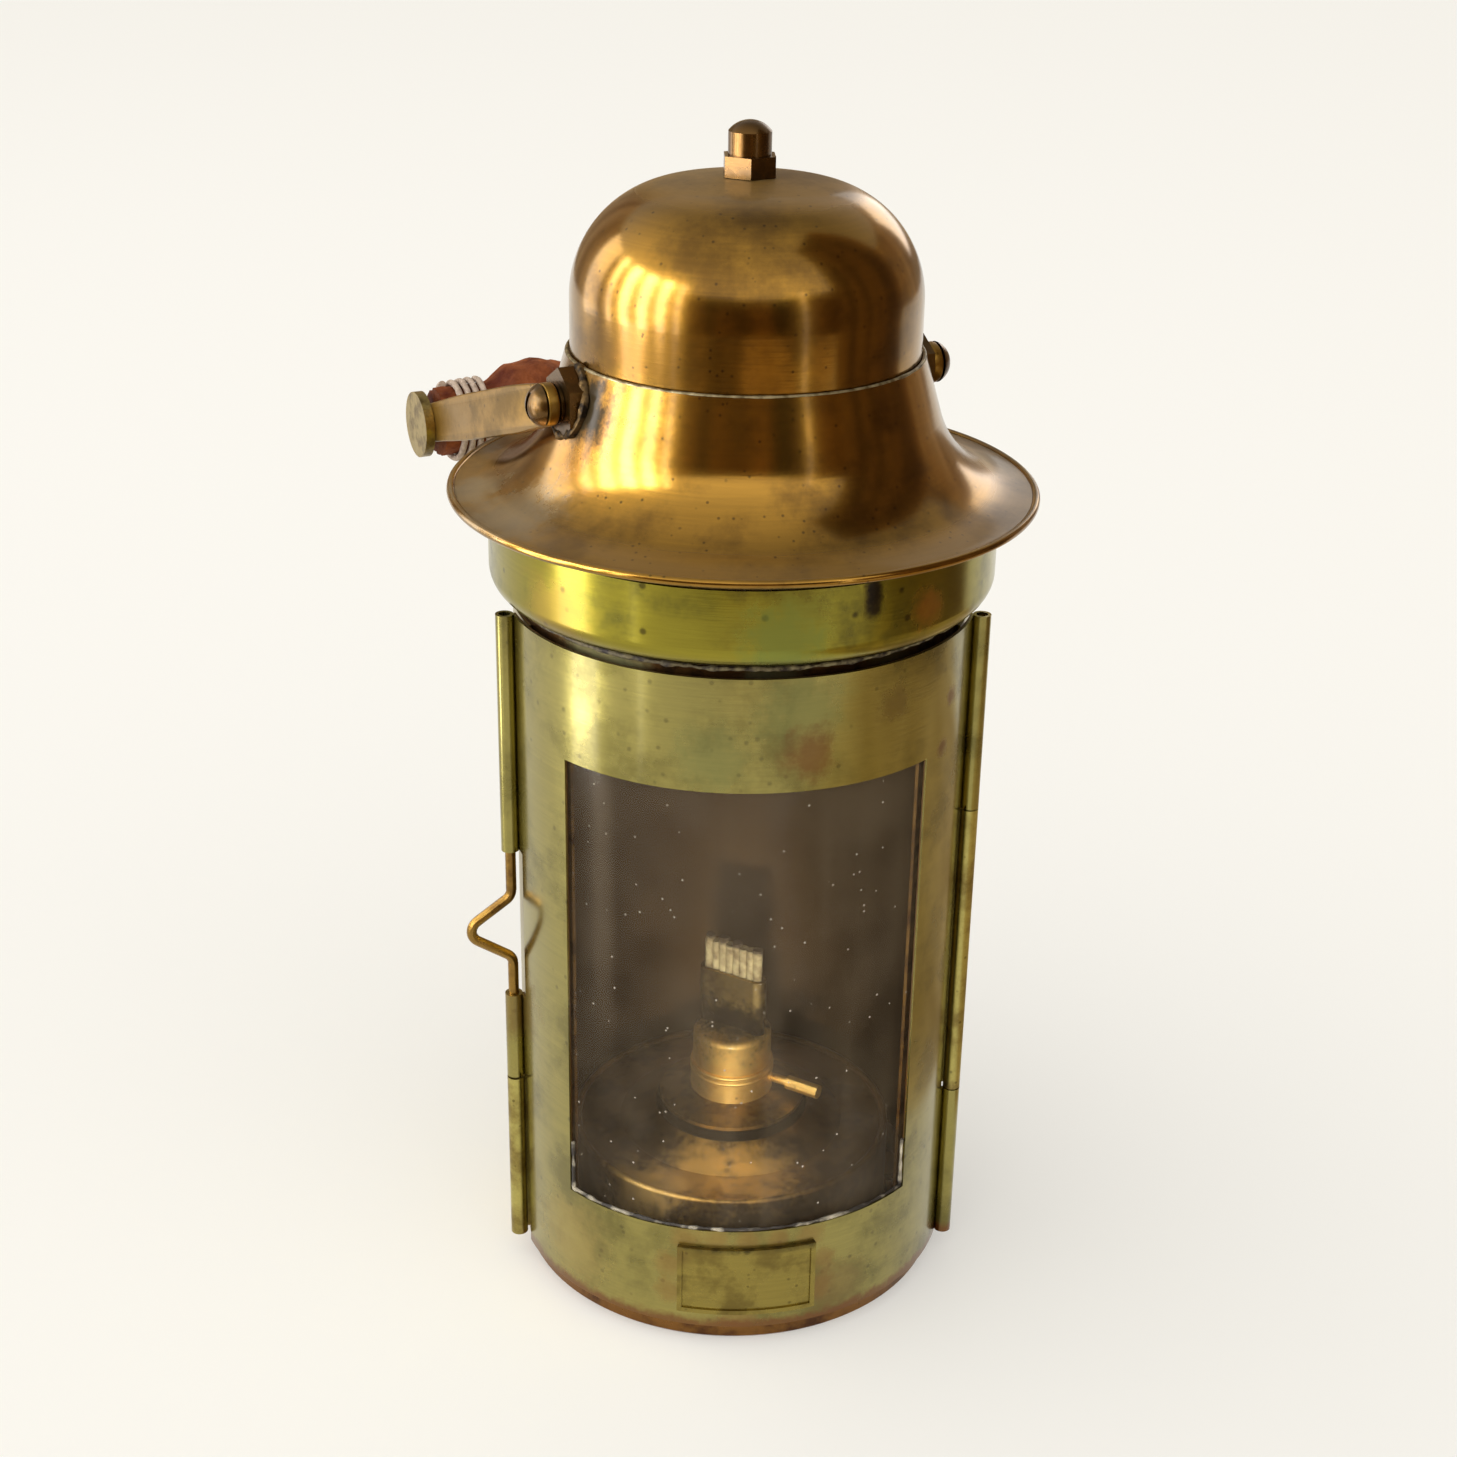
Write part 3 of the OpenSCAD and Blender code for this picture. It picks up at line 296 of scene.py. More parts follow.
def from_nodes(name, start, tree, sockets, values):
    """Runs a Geometry Nodes tree on a mesh and keeps the result as a plain mesh."""
    draft = put(name + "_draft", start)
    shaping = draft.modifiers.new("shaping", "NODES")
    shaping.node_group = tree
    for label, value in values.items():
        shaping[sockets[label]] = value
    shaped = draft.evaluated_get(bpy.context.evaluated_depsgraph_get())
    mesh = bpy.data.meshes.new_from_object(shaped)
    bpy.data.objects.remove(draft)
    return show(name, mesh)


def line(name, points, closed=True):
    """A mesh that is only a line through points."""
    mesh = bpy.data.meshes.new(name)
    count = len(points) if closed else len(points) - 1
    mesh.from_pydata(points, [(i, (i + 1) % len(points)) for i in range(count)], [])
    return mesh


def spun(name, outline, material, core, dent=0.0, dent_size=30 * mm, segments=192):
    """Spins a closed outline of (radius, height) points round the lantern's axis."""
    section = line(name + "_outline", [(r - core, -z, 0) for r, z in outline])
    return from_nodes(name, section, spinning, spun_sockets, {
        "Segments": segments, "Core": core, "Dent": dent, "Dent size": dent_size, "Finish": material})


collar_low, collar_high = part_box("collar")
collar_r = collar_high.x
collar_round = 5 * mm
collar_hole = 49.6 * mm
collar_lip = 3.5 * mm
round_x = collar_r - collar_round
round_z = collar_low.z + collar_round
collar_outline = (
    [(collar_hole, collar_low.z + collar_lip), (collar_hole, collar_low.z)]
    + arc((round_x, round_z), collar_round, 270, 360)
    + [(collar_r, collar_high.z), (collar_r - sheet, collar_high.z)]
    + arc((round_x, round_z), collar_round - sheet, 360, 270)
    + [(collar_hole + sheet, collar_low.z + sheet), (collar_hole + sheet, collar_low.z + collar_lip)])
collar_brass = aged_brass(
    "spun_brass_green_gold", "8E8328", "645E22", cloud=16 * mm, share=0.45, gloss=(0.16, 0.3),
    streak=0.5 * mm, speck=5 * mm, specks=0.7,
    stains_and_painted_light=[((24, -50, 180 + 1.3 * i), 3.0, "2A1F0C", 0.95) for i in range(5)]
    + [((36, -42, 178), 7, "A86A28", 0.6), ((6, -55, 176), 13, "70803C", 0.6),
       ((-40, -38, 174), 14, "8A6A2E", 0.5)])
collar = spun("spun_collar", collar_outline, collar_brass, core=collar_r, dent=0.25 * mm)
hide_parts("collar")
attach(collar, "lantern")

brim_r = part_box("bell")[1].x
brim_bead = 0.9 * mm
lip_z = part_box("bell")[1].z
neck_lean = 16.3
lean = math.radians(neck_lean)
dome_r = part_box("dome")[1].x
seam = 0.15 * mm
neck_wall = sheet / math.cos(lean)
neck_r = dome_r + seam + neck_wall
brim_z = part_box("bell")[0].z + brim_bead + sheet / 2
flare_r = ((brim_r - neck_r - (lip_z - brim_z) * math.tan(lean))
           / (math.cos(lean) - math.tan(lean) * (1 - math.sin(lean))))
flare_c = (brim_r, brim_z + flare_r)
bead_c = (brim_r - brim_bead, brim_z - sheet / 2)
bead_turn = 180 - math.degrees(math.asin(sheet / 2 / brim_bead))
rim_turn = 270 - math.degrees(math.asin(brim_bead * (1 - math.cos(math.radians(bead_turn))) / flare_r))
bell_outline = (
    [(neck_r, lip_z)]
    + arc(flare_c, flare_r, 180 + neck_lean, rim_turn)
    + arc(bead_c, brim_bead, bead_turn, -bead_turn)
    + arc(flare_c, flare_r + sheet, rim_turn, 180 + neck_lean)
    + [(neck_r - neck_wall, lip_z)])
hood_brass = aged_brass(
    "spun_brass_dark_patina", "966F26", "684A16", cloud=24 * mm, share=0.5, gloss=(0.14, 0.24),
    streak=0.7 * mm, speck=2.0 * mm, specks=0.6, wax=0.3, dust=("4C3C1E", 0.55),
    stains_and_painted_light=[((-50, -28, 194), 17, "8C8068", 0.6), ((-58, -8, 192), 12, "94886E", 0.6),
            ((52, 10, 193), 14, "8A7A52", 0.35), ((0, 0, 256), 8, "9A8A62", 0.6),
            ((-31, -26, 210), 18, "8E5628", 0.3), ((-33, -23, 213), 13, "241C0E", 1.0),
            ((33.5, 22.5, 213), 13, "2A2212", 0.95)])
bell = spun("spun_bell", bell_outline, hood_brass, core=brim_r, dent=0.35 * mm)
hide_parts("bell")
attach(bell, "lantern")

crown_r = 110 * mm
shoulder_r = 24 * mm
stud_hole = 2.7 * mm
skirt_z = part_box("dome")[0].z
crown_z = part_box("acorn_nut")[0].z
crown_c = (0, crown_z - crown_r)
shoulder_x = dome_r - shoulder_r
shoulder_c = (shoulder_x, crown_c[1] + math.sqrt((crown_r - shoulder_r) ** 2 - shoulder_x ** 2))
meet = math.degrees(math.atan2(shoulder_c[1] - crown_c[1], shoulder_x))
hole_turn = math.degrees(math.acos(stud_hole / crown_r))
dome_outline = (
    arc(crown_c, crown_r, hole_turn, meet)
    + arc(shoulder_c, shoulder_r, meet, 0)
    + [(dome_r, skirt_z), (dome_r - sheet, skirt_z)]
    + arc(shoulder_c, shoulder_r - sheet, 0, meet)
    + arc(crown_c, crown_r - sheet, meet, hole_turn))
dome = spun("spun_dome", dome_outline, hood_brass, core=dome_r, dent=0.3 * mm)
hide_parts("dome")
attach(dome, "lantern")

# Solder: soft solder run by hand along the seam of bell and dome, where it is dull grey, and round
# the pivot nuts, where it has set in dark burnt lumps.
bead_tree, bead_sockets, given = new_tree("hand_run_bead", {
    "Thickness": "Float", "Lumps": "Float", "Lump size": "Float"}, start="Path")
run = add(bead_tree, "GeometryNodeMeshToCurve", {"Mesh": given["Path"]})
half_thick = add(bead_tree, "ShaderNodeMath", {0: given["Thickness"], 1: 0.5}, operation="MULTIPLY")
drop = add(bead_tree, "GeometryNodeCurvePrimitiveCircle", {
    "Resolution": 10, "Radius": half_thick.outputs[0]})
even = add(bead_tree, "GeometryNodeCurveToMesh", {
    "Curve": run.outputs["Curve"], "Profile Curve": drop.outputs["Curve"], "Fill Caps": True})
pattern_scale = add(bead_tree, "ShaderNodeMath", {0: 1.0, 1: given["Lump size"]}, operation="DIVIDE")
lumps = add(bead_tree, "ShaderNodeTexNoise", {"Scale": pattern_scale.outputs[0], "Detail": 2.0})
centred = add(bead_tree, "ShaderNodeMath", {0: lumps.outputs["Fac"], 1: 0.5}, operation="SUBTRACT")
swelling = add(bead_tree, "ShaderNodeMath", {
    0: centred.outputs[0], 1: given["Lumps"]}, operation="MULTIPLY")
facing = add(bead_tree, "GeometryNodeInputNormal")
push = add(bead_tree, "ShaderNodeVectorMath", {
    0: facing.outputs[0], "Scale": swelling.outputs[0]}, operation="SCALE")
lumpy = add(bead_tree, "GeometryNodeSetPosition", {
    "Geometry": even.outputs[0], "Offset": push.outputs[0]})
end_tree(bead_tree, given, lumpy.outputs[0])


def bead(name, points, closed, thickness, lumps, lump_size, material):
    """Runs a lumpy bead along a path."""
    return from_nodes(name, line(name + "_path", points, closed), bead_tree, bead_sockets, {
        "Thickness": thickness, "Lumps": lumps, "Lump size": lump_size, "Finish": material})


def circle(centre, r, count=48):
    """Points of a whole circle, for a closed line."""
    return arc(centre, r, 0, 360 - 360 / count, count - 1)


def crust(name, pale, dark, grit, metallic, rough, dark_share=0.38):
    """A dull material that is mottled and pitted at the size of its grit."""
    material, tree, place = blank_material(name)
    mottle = add(tree, "ShaderNodeTexNoise", {
        "Vector": place, "Scale": 1 / grit, "Detail": 5.0}).outputs["Fac"]
    share = add(tree, "ShaderNodeMapRange", {
        "Value": mottle, "From Min": dark_share, "From Max": dark_share + 0.24}).outputs[0]
    colour = add(tree, "ShaderNodeMix", {
        0: share, 6: linear(dark), 7: linear(pale)}, data_type="RGBA").outputs[2]
    pitting = add(tree, "ShaderNodeBump", {
        "Height": mottle, "Strength": 0.6, "Distance": 0.2 * grit}).outputs[0]
    shader = add(tree, "ShaderNodeBsdfPrincipled", {
        "Base Color": colour, "Metallic": metallic, "Roughness": rough, "Normal": pitting})
    add(tree, "ShaderNodeOutputMaterial", {"Surface": shader.outputs[0]})
    return material


solder = crust("soft_solder_dull_grey", "948868", "54482E", grit=2.2 * mm, metallic=0.7, rough=0.45)
dark_solder = crust("soft_solder_burnt", "5A4628", "1A1208", grit=1.6 * mm, metallic=0.85, rough=0.6)
seam_r = neck_r - 0.5 * neck_wall
seam_path = [(x, y, lip_z) for x, y in circle((0, 0), seam_r, count=240)]
seam_bead = bead("solder_seam", seam_path, closed=True, thickness=0.8 * mm, lumps=0.3 * mm,
                 lump_size=5 * mm, material=solder)
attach(seam_bead, "lantern")
swing = next(joint for joint in frame["joints"] if joint["name"] == "bail_swing")
pivot_z = swing["pos_m"][2]
pivot_turn = math.atan2(swing["axis"][1], swing["axis"][0])
nut_round = 6.9 * mm
for side, facing_turn in (("right", pivot_turn), ("left", pivot_turn + math.pi)):
    ring = []
    for aside, rise in circle((0, 0), nut_round):
        z = pivot_z + rise
        r = neck_r + (lip_z - z) * math.tan(lean)
        turn = facing_turn + aside / r
        ring.append((r * math.cos(turn), r * math.sin(turn), z))
    lump = bead("solder_patch_" + side, ring, closed=True, thickness=2.0 * mm, lumps=2.6 * mm,
                lump_size=3.5 * mm, material=dark_solder)
    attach(lump, "lantern")

# Groove crust: green-grey corrosion and old solder that has swollen out between collar and top ring,
# just above the door.
verdigris = crust("copper_green_crust", "7E7250", "2A1C0E", grit=1.8 * mm, metallic=0.0, rough=0.8)
crust_r = 50.1 * mm
crust_z = 167.2 * mm
crust_path = [(x, y, crust_z) for x, y in arc((0, 0), crust_r, 205, 335, count=160)]
groove_crust = bead("groove_crust", crust_path, closed=False, thickness=1.0 * mm, lumps=1.4 * mm,
                    lump_size=3 * mm, material=verdigris)
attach(groove_crust, "lantern")

# Acorn nut, pivot nuts and pivot screws: fittings turned from brass bar and gone dark brown-gold. The
# acorn nut is screwed on the stud, the pivot nuts are soldered on and hold the bail's screws.
dress(aged_brass("turned_brass_brown_gold", "624620", "403016", cloud=8 * mm, gloss=(0.22, 0.36),
                 streak=0.4 * mm, specks=0.2),
      "acorn_nut", "pivot_nuts", "pivot_screws")

# Door: rolled sheet brass with a window cut in it, tubes rolled along its edges and a bare plate
# soldered on. It is khaki-yellow and glossy, with a burn and green tarnish above the window, and oil
# has crept up its foot.
door_soot_r = 51.6 * mm
door_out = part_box("door_sheet")[0].y / mm
plate_low, plate_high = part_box("door_plate")
plate_mid = (plate_low.x + plate_high.x) / 2 / mm
plate_top = plate_high.z / mm


def on_door(x, z):
    """A place on the front of the door, in millimetres."""
    return (x, -math.sqrt(door_out ** 2 - x ** 2), z)


plate_edge = 17.5
round_plate = ([on_door(plate_mid + 7 * i, plate_top + 1.5) for i in range(-2, 3)]
               + [on_door(plate_mid + plate_edge * s, plate_top - d) for s in (-1, 1) for d in (6, 13)])
dress(aged_brass("rolled_brass_khaki", "958A48", "716830", cloud=20 * mm, share=0.5, gloss=(0.18, 0.32),
                 streak=0.45 * mm, wobble=0.4 * mm, speck=3.4 * mm, specks=0.35, wax=0.5,
                 soot_and_shade=(door_soot_r, "6A5030"), creep=(6.5 * mm, "74461E"),
                 stains_and_painted_light=[((10, -51, 158), 13, "727C44", 0.45), ((-8, -51.4, 148), 11, "747C46", 0.4),
                         ((12, -50.6, 149), 8.5, "744818", 0.7), ((30, -42, 156), 6, "7E6A34", 0.6),
                         ((44, -28, 152), 3, "6A3A1C", 0.7), ((42, -30, 141), 3, "6A3A1C", 0.7),
                         ((-38, -35, 18), 16, "A08A48", 0.5), ((22, -47, 12), 12, "7A6030", 0.5),
                         ((0, -52, 7), 6, "8A6A34", 0.5), ((-50, -14, 70), 16, "6E5426", 0.6)]
                 + [(spot, 5, "86622A", 0.5) for spot in round_plate]),
      "door_sheet")
dress(aged_brass("pressed_brass_plate", "8E7E3C", "6E5E2A", cloud=8 * mm, gloss=(0.22, 0.36),
                 stains_and_painted_light=[((-14, -50, 24), 5, "5C4420", 0.6)]
                 # Painted shadow: a near-black row along the plate's top border, under its raised edge.
                 + [(on_door(plate_mid + 3.5 * i, plate_top + 2), 4.2, "221C0C", 0.9)
                    for i in range(-5, 6)]),
      "door_plate")
dress(aged_brass("folded_brass_strip", "7A5A2C", "4A3018", cloud=6 * mm, gloss=(0.3, 0.5)),
      "glass_channels", "glass_ledge")

# Window pane: clear glass bent to the door's curve and slid into its channels. Lamp smoke and dust
# have greyed it, so it shows the burner through a thin brown haze.
pane, tree, place = blank_material("bent_window_glass_smoked")
height = add(tree, "ShaderNodeSeparateXYZ", {0: place}).outputs["Z"]
dust = add(tree, "ShaderNodeTexNoise", {
    "Vector": place, "Scale": 1 / (14 * mm), "Detail": 5.0}).outputs["Fac"]
haze = add(tree, "ShaderNodeMapRange", {
    "Value": dust, "From Min": 0.3, "From Max": 0.7, "To Min": 0.04, "To Max": 0.11}).outputs[0]
grit = add(tree, "ShaderNodeTexVoronoi", {"Vector": place, "Scale": 1 / (3.2 * mm)})
mote = add(tree, "ShaderNodeMapRange", {
    "Value": grit.outputs["Distance"], "From Min": 0.05, "From Max": 0.11,
    "To Min": 0.6, "To Max": 0.0}).outputs[0]
sparse = add(tree, "ShaderNodeMapRange", {
    "Value": grit.outputs["Color"], "From Min": 0.5, "From Max": 0.56}).outputs[0]
mote = add(tree, "ShaderNodeMath", {0: mote, 1: sparse}, operation="MULTIPLY").outputs[0]
smoke = add(tree, "ShaderNodeMapRange", {
    "Value": height, "From Min": 80 * mm, "From Max": 150 * mm,
    "To Min": 0.0, "To Max": 0.12}).outputs[0]
wipe = add(tree, "ShaderNodeVectorMath", {
    0: place, 1: (1 / (7 * mm), 1 / (7 * mm), 1 / (120 * mm))}, operation="MULTIPLY").outputs[0]
smear = add(tree, "ShaderNodeTexNoise", {"Vector": wipe, "Scale": 1.0, "Detail": 3.0}).outputs["Fac"]
smear = add(tree, "ShaderNodeMapRange", {
    "Value": smear, "From Min": 0.5, "From Max": 0.75, "To Min": 0.0, "To Max": 0.06}).outputs[0]
# Painted reflection: a pale vertical streak on the left of the pane, fading in above 60 mm, stands for a window
# mirrored in the glass.
painted_reflection_x = -30.5 * mm
aside = add(tree, "ShaderNodeSeparateXYZ", {0: place}).outputs["X"]
aside = add(tree, "ShaderNodeMath", {0: aside, 1: painted_reflection_x}, operation="SUBTRACT").outputs[0]
aside = add(tree, "ShaderNodeMath", {0: aside}, operation="ABSOLUTE").outputs[0]
streak = add(tree, "ShaderNodeMapRange", {
    "Value": aside, "From Min": 0.5 * mm, "From Max": 3.5 * mm,
    "To Min": 0.12, "To Max": 0.0}, interpolation_type="SMOOTHSTEP").outputs[0]
above = add(tree, "ShaderNodeMapRange", {
    "Value": height, "From Min": 60 * mm, "From Max": 110 * mm},
    interpolation_type="SMOOTHSTEP").outputs[0]
cover = add(tree, "ShaderNodeMath", {0: streak, 1: above}, operation="MULTIPLY").outputs[0]
for film in (haze, mote, smoke, smear):
    cover = add(tree, "ShaderNodeMath", {0: cover, 1: film}, operation="ADD").outputs[0]
tint = add(tree, "ShaderNodeMix", {
    0: mote, 6: linear("7A6A54"), 7: linear("C8C0B4")}, data_type="RGBA").outputs[2]
shader = add(tree, "ShaderNodeBsdfPrincipled", {
    "Base Color": tint, "Roughness": 0.12, "IOR": 1.5, "Alpha": cover})
add(tree, "ShaderNodeOutputMaterial", {"Surface": shader.outputs[0]})
dress(pane, "window_glass")

# Putty: remains of whitish glazing putty, pressed by thumb into the corner between the pane and the
# door's cut edge. Most of it is black with dirt.
putty = crust("linseed_putty_weathered", "BCB29C", "241C12", grit=5 * mm, metallic=0.0, rough=0.8,
              dark_share=0.48)
putty_r = 51.3 * mm
putty_low = 31.3 * mm
putty_high = 44 * mm
putty_half = 47.3
putty_low_path = [(x, y, putty_low) for x, y in
                  arc((0, 0), putty_r, -90 - putty_half, -90 + putty_half, count=100)]
left_end, right_end = putty_low_path[0], putty_low_path[-1]
climb_steps = 12
climb = [putty_low + (putty_high - putty_low) * (i + 1) / climb_steps for i in range(climb_steps)]
putty_path = ([(left_end[0], left_end[1], z) for z in reversed(climb)] + putty_low_path
              + [(right_end[0], right_end[1], z) for z in climb])
putty_bead = bead("glazing_putty", putty_path, closed=False, thickness=0.8 * mm, lumps=1.1 * mm,
                  lump_size=3 * mm, material=putty)
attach(putty_bead, "door")

# Bail: two flat brass legs on the pivot screws and a rod headed over in discs. Handling has worn
# the legs to a brown satin.
bail_brass = aged_brass("bar_brass_worn_satin", "8E6C2C", "6A501E", cloud=12 * mm, gloss=(0.3, 0.46),
                        wobble=0.3 * mm, wax=0.1)
dress(aged_brass("bar_brass_hammered", "8E7A44", "5A4824", cloud=5 * mm, gloss=(0.32, 0.5),
                 wobble=0.6 * mm), "grip_rod")
grip_middle = Vector(next(m for m in frame["record"]["mounts"] if m["name"] == "hang_grip")["pos_m"])
along = Vector(swing["axis"]).normalized()
pivot = Vector(swing["pos_m"])
reach = (grip_middle - pivot).normalized()
leg_len = (grip_middle - pivot).length
leg_t = 2.4 * mm
leg_in = 43.9 * mm
leg_edge = 0.4 * mm
leg_widths = [(0.0, 9.0), (0.25, 10.4), (0.6, 10.4), (1.0, 9.0)]
eye_d = 6.9 * mm
rod_hole_d = 6.0 * mm


def eased(profile, share):
    """The size at a share of a length, eased between the sizes that a profile gives."""
    for (a, size_a), (b, size_b) in zip(profile, profile[1:]):
        if share <= b:
            ease = (share - a) / (b - a)
            return size_a + (size_b - size_a) * ease * ease * (3 - 2 * ease)
    return profile[-1][1]


def leg_half(share):
    """Half the width of a leg at a share of its length."""
    return eased(leg_widths, share) / 2 * mm


leg_curve = bpy.data.curves.new("bail_leg_outline", "CURVE")
leg_curve.dimensions = "2D"
leg_curve.fill_mode = "BOTH"
leg_curve.extrude = leg_t / 2 - leg_edge
leg_curve.bevel_depth = leg_edge
leg_curve.bevel_resolution = 2
leg_curve.offset = -leg_edge
leg_steps = 40
sides = [i / leg_steps for i in range(1, leg_steps)]
leg_outline = (arc((leg_len, 0), leg_half(1.0), -90, 90, count=32)
               + [(s * leg_len, leg_half(s)) for s in reversed(sides)]
               + arc((0, 0), leg_half(0.0), 90, 270, count=32)
               + [(s * leg_len, -leg_half(s)) for s in sides])
eye = circle((0, 0), eye_d / 2)
rod_hole = circle((leg_len, 0), rod_hole_d / 2)
for loop in (leg_outline, eye, rod_hole):
    spline = leg_curve.splines.new("POLY")
    spline.points.add(len(loop) - 1)
    for dot, (u, v) in zip(spline.points, loop):
        dot.co = (u, v, 0, 1)
    spline.use_cyclic_u = True
leg_draft = put("bail_leg_draft", leg_curve)
leg_shaped = leg_draft.evaluated_get(bpy.context.evaluated_depsgraph_get())
leg_frame = Matrix((reach, along.cross(reach), along)).transposed().to_4x4()
work = bmesh.new()
for side in (-1, 1):
    flat = bpy.data.meshes.new_from_object(leg_shaped)
    leg_frame.translation = pivot + along * side * (leg_in + leg_t / 2)
    flat.transform(leg_frame)
    work.from_mesh(flat)
bpy.data.objects.remove(leg_draft)
legs_mesh = bpy.data.meshes.new("bail_legs")
work.to_mesh(legs_mesh)
work.free()
legs = show("bail_legs", legs_mesh)
legs_mesh.materials.append(bail_brass)
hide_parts("bail_leg_left", "bail_leg_right")
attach(legs, "bail")

# Oil font and burner: a drawn brass can with a coned lid, and a screwed burner with a flat wick
# tube and a spindle. They are golden brown; the cap, spindle, wheels and knob are a much paler gold,
# which is painted light.
# Painted shade: the font's lid and collar are near-black near the axis, under the burner's flange.
flange_painted_shade_r = 18.4 * mm
dress(aged_brass("drawn_brass_golden_brown", "7E6032", "46341A", cloud=14 * mm, gloss=(0.36, 0.5),
                 soot_and_shade=(flange_painted_shade_r, "1E160C"),
                 # Painted highlight: bright pale gold patches on the front of the font's lid.
                 stains_and_painted_light=[((-9, -27, 33), 17, "E4B45C", 0.9), ((5, -28, 33), 15, "E0B058", 0.9),
                         ((-24, -31, 28), 16, "D8B468", 0.8)]), "font_bowl", "font_top", "font_collar")
# Painted light: the burner's pale gold stands for the light that falls on it. The dark round its crown is painted
# shade.
dress(aged_brass("drawn_brass_golden", "F0C870", "D4A858", cloud=8 * mm, gloss=(0.42, 0.55),
                 stains_and_painted_light=[((0, 2, 58), 18, "1E160C", 0.95)]),
      "burner_cap", "wick_spindle", "wick_wheels", "wick_knob")
dress(aged_brass("turned_brass_oil_browned", "927840", "5E4A26", cloud=6 * mm, gloss=(0.36, 0.5)),
      "burner_base")
dress(aged_brass("folded_brass_heat_browned_painted_shade", "A08850", "6C5630", cloud=6 * mm, gloss=(0.4, 0.55),
                 # Painted shade: the tube is near-black below its sleeve, where shadow falls inside the burner.
                 stains_and_painted_light=[((0, 0, 48), 20, "17120C", 1.0)]
                 + [((4.2 * s, -2.7 * s, 54), 11, "17120C", 1.0) for s in (-1, 0, 1)]), "wick_tube")

# Wick: a flat strip of woven cotton, here as its warp yarns side by side. Its top is frayed into
# straw-coloured tufts and its edge is charred.
wick_tree, wick_sockets, given = new_tree("frayed_wick", {
    "Yarns": "Int", "Width": "Float", "Length": "Float", "Yarn radius": "Float",
    "Frayed length": "Float", "Fray": "Float"})
inner = add(wick_tree, "ShaderNodeMath", {
    0: given["Yarn radius"], 1: -2.0, 2: given["Width"]}, operation="MULTIPLY_ADD")
edge = add(wick_tree, "ShaderNodeMath", {0: inner.outputs[0], 1: 0.5}, operation="MULTIPLY")
one_side = add(wick_tree, "ShaderNodeCombineXYZ", {"X": edge.outputs[0]})
other_side = add(wick_tree, "ShaderNodeVectorMath", {
    0: one_side.outputs[0], "Scale": -1.0}, operation="SCALE")
warp = add(wick_tree, "GeometryNodeMeshLine", {
    "Count": given["Yarns"], "Start Location": other_side.outputs[0],
    "Offset": one_side.outputs[0]}, mode="END_POINTS")
yarn_top = add(wick_tree, "ShaderNodeCombineXYZ", {"Z": given["Length"]})
yarn_line = add(wick_tree, "GeometryNodeCurvePrimitiveLine", {"End": yarn_top.outputs[0]})
yarn_line = add(wick_tree, "GeometryNodeResampleCurve", {"Curve": yarn_line.outputs[0], "Count": 120})
strand = add(wick_tree, "GeometryNodeCurvePrimitiveCircle", {
    "Resolution": 12, "Radius": given["Yarn radius"]})
yarn = add(wick_tree, "GeometryNodeCurveToMesh", {
    "Curve": yarn_line.outputs[0], "Profile Curve": strand.outputs["Curve"], "Fill Caps": True})
shrink = add(wick_tree, "FunctionNodeRandomValue", {2: 0.97, 3: 1.0, "Seed": 4}, data_type="FLOAT")
stretch = add(wick_tree, "ShaderNodeCombineXYZ", {"X": 1.0, "Y": 1.0, "Z": shrink.outputs[1]})
yarns = add(wick_tree, "GeometryNodeInstanceOnPoints", {
    "Points": warp.outputs[0], "Instance": yarn.outputs[0], "Scale": stretch.outputs[0]})
strip = add(wick_tree, "GeometryNodeRealizeInstances", {"Geometry": yarns.outputs[0]})
point = add(wick_tree, "GeometryNodeInputPosition").outputs[0]
height = add(wick_tree, "ShaderNodeSeparateXYZ", {0: point})
fray_start = add(wick_tree, "ShaderNodeMath", {
    0: given["Length"], 1: given["Frayed length"]}, operation="SUBTRACT")
loose = add(wick_tree, "ShaderNodeMapRange", {
    "Value": height.outputs["Z"], "From Min": fray_start.outputs[0], "From Max": given["Length"],
    "To Min": 0.15, "To Max": 1.0})
spread = add(wick_tree, "ShaderNodeMath", {0: loose.outputs[0], 1: given["Fray"]}, operation="MULTIPLY")
tangle = add(wick_tree, "ShaderNodeTexNoise", {"Scale": 1 / (2.2 * mm), "Detail": 3.0, "Roughness": 0.5})
tangle = add(wick_tree, "ShaderNodeVectorMath", {
    0: tangle.outputs["Color"], 1: (0.5, 0.5, 0.5)}, operation="SUBTRACT")
tangle = add(wick_tree, "ShaderNodeVectorMath", {
    0: tangle.outputs[0], "Scale": spread.outputs[0]}, operation="SCALE")
frayed = add(wick_tree, "GeometryNodeSetPosition", {
    "Geometry": strip.outputs[0], "Offset": tangle.outputs[0]})
end_tree(wick_tree, given, frayed.outputs[0])
wick_low, wick_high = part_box("wick")
wick_top = wick_high.z
cotton, tree, place = blank_material("woven_cotton_charred")
tuft = add(tree, "ShaderNodeTexNoise", {
    "Vector": place, "Scale": 1 / (2.4 * mm), "Detail": 4.0}).outputs["Fac"]
pale = add(tree, "ShaderNodeMapRange", {"Value": tuft, "From Min": 0.34, "From Max": 0.62})
tint = add(tree, "ShaderNodeMix", {
    0: pale.outputs[0], 6: linear("8C7850"), 7: linear("C8B684")}, data_type="RGBA").outputs[2]
height = add(tree, "ShaderNodeSeparateXYZ", {0: place}).outputs["Z"]
ragged = add(tree, "ShaderNodeMath", {0: tuft, 1: 4 * mm, 2: height}, operation="MULTIPLY_ADD")
char = add(tree, "ShaderNodeMapRange", {
    "Value": ragged.outputs[0], "From Min": wick_top - 0.2 * mm, "From Max": wick_top + 1.2 * mm})
tint = add(tree, "ShaderNodeMix", {
    0: char.outputs[0], 6: tint, 7: linear("4A3A26")}, data_type="RGBA").outputs[2]
shader = add(tree, "ShaderNodeBsdfPrincipled", {"Base Color": tint, "Roughness": 0.9, "IOR": 1.5})
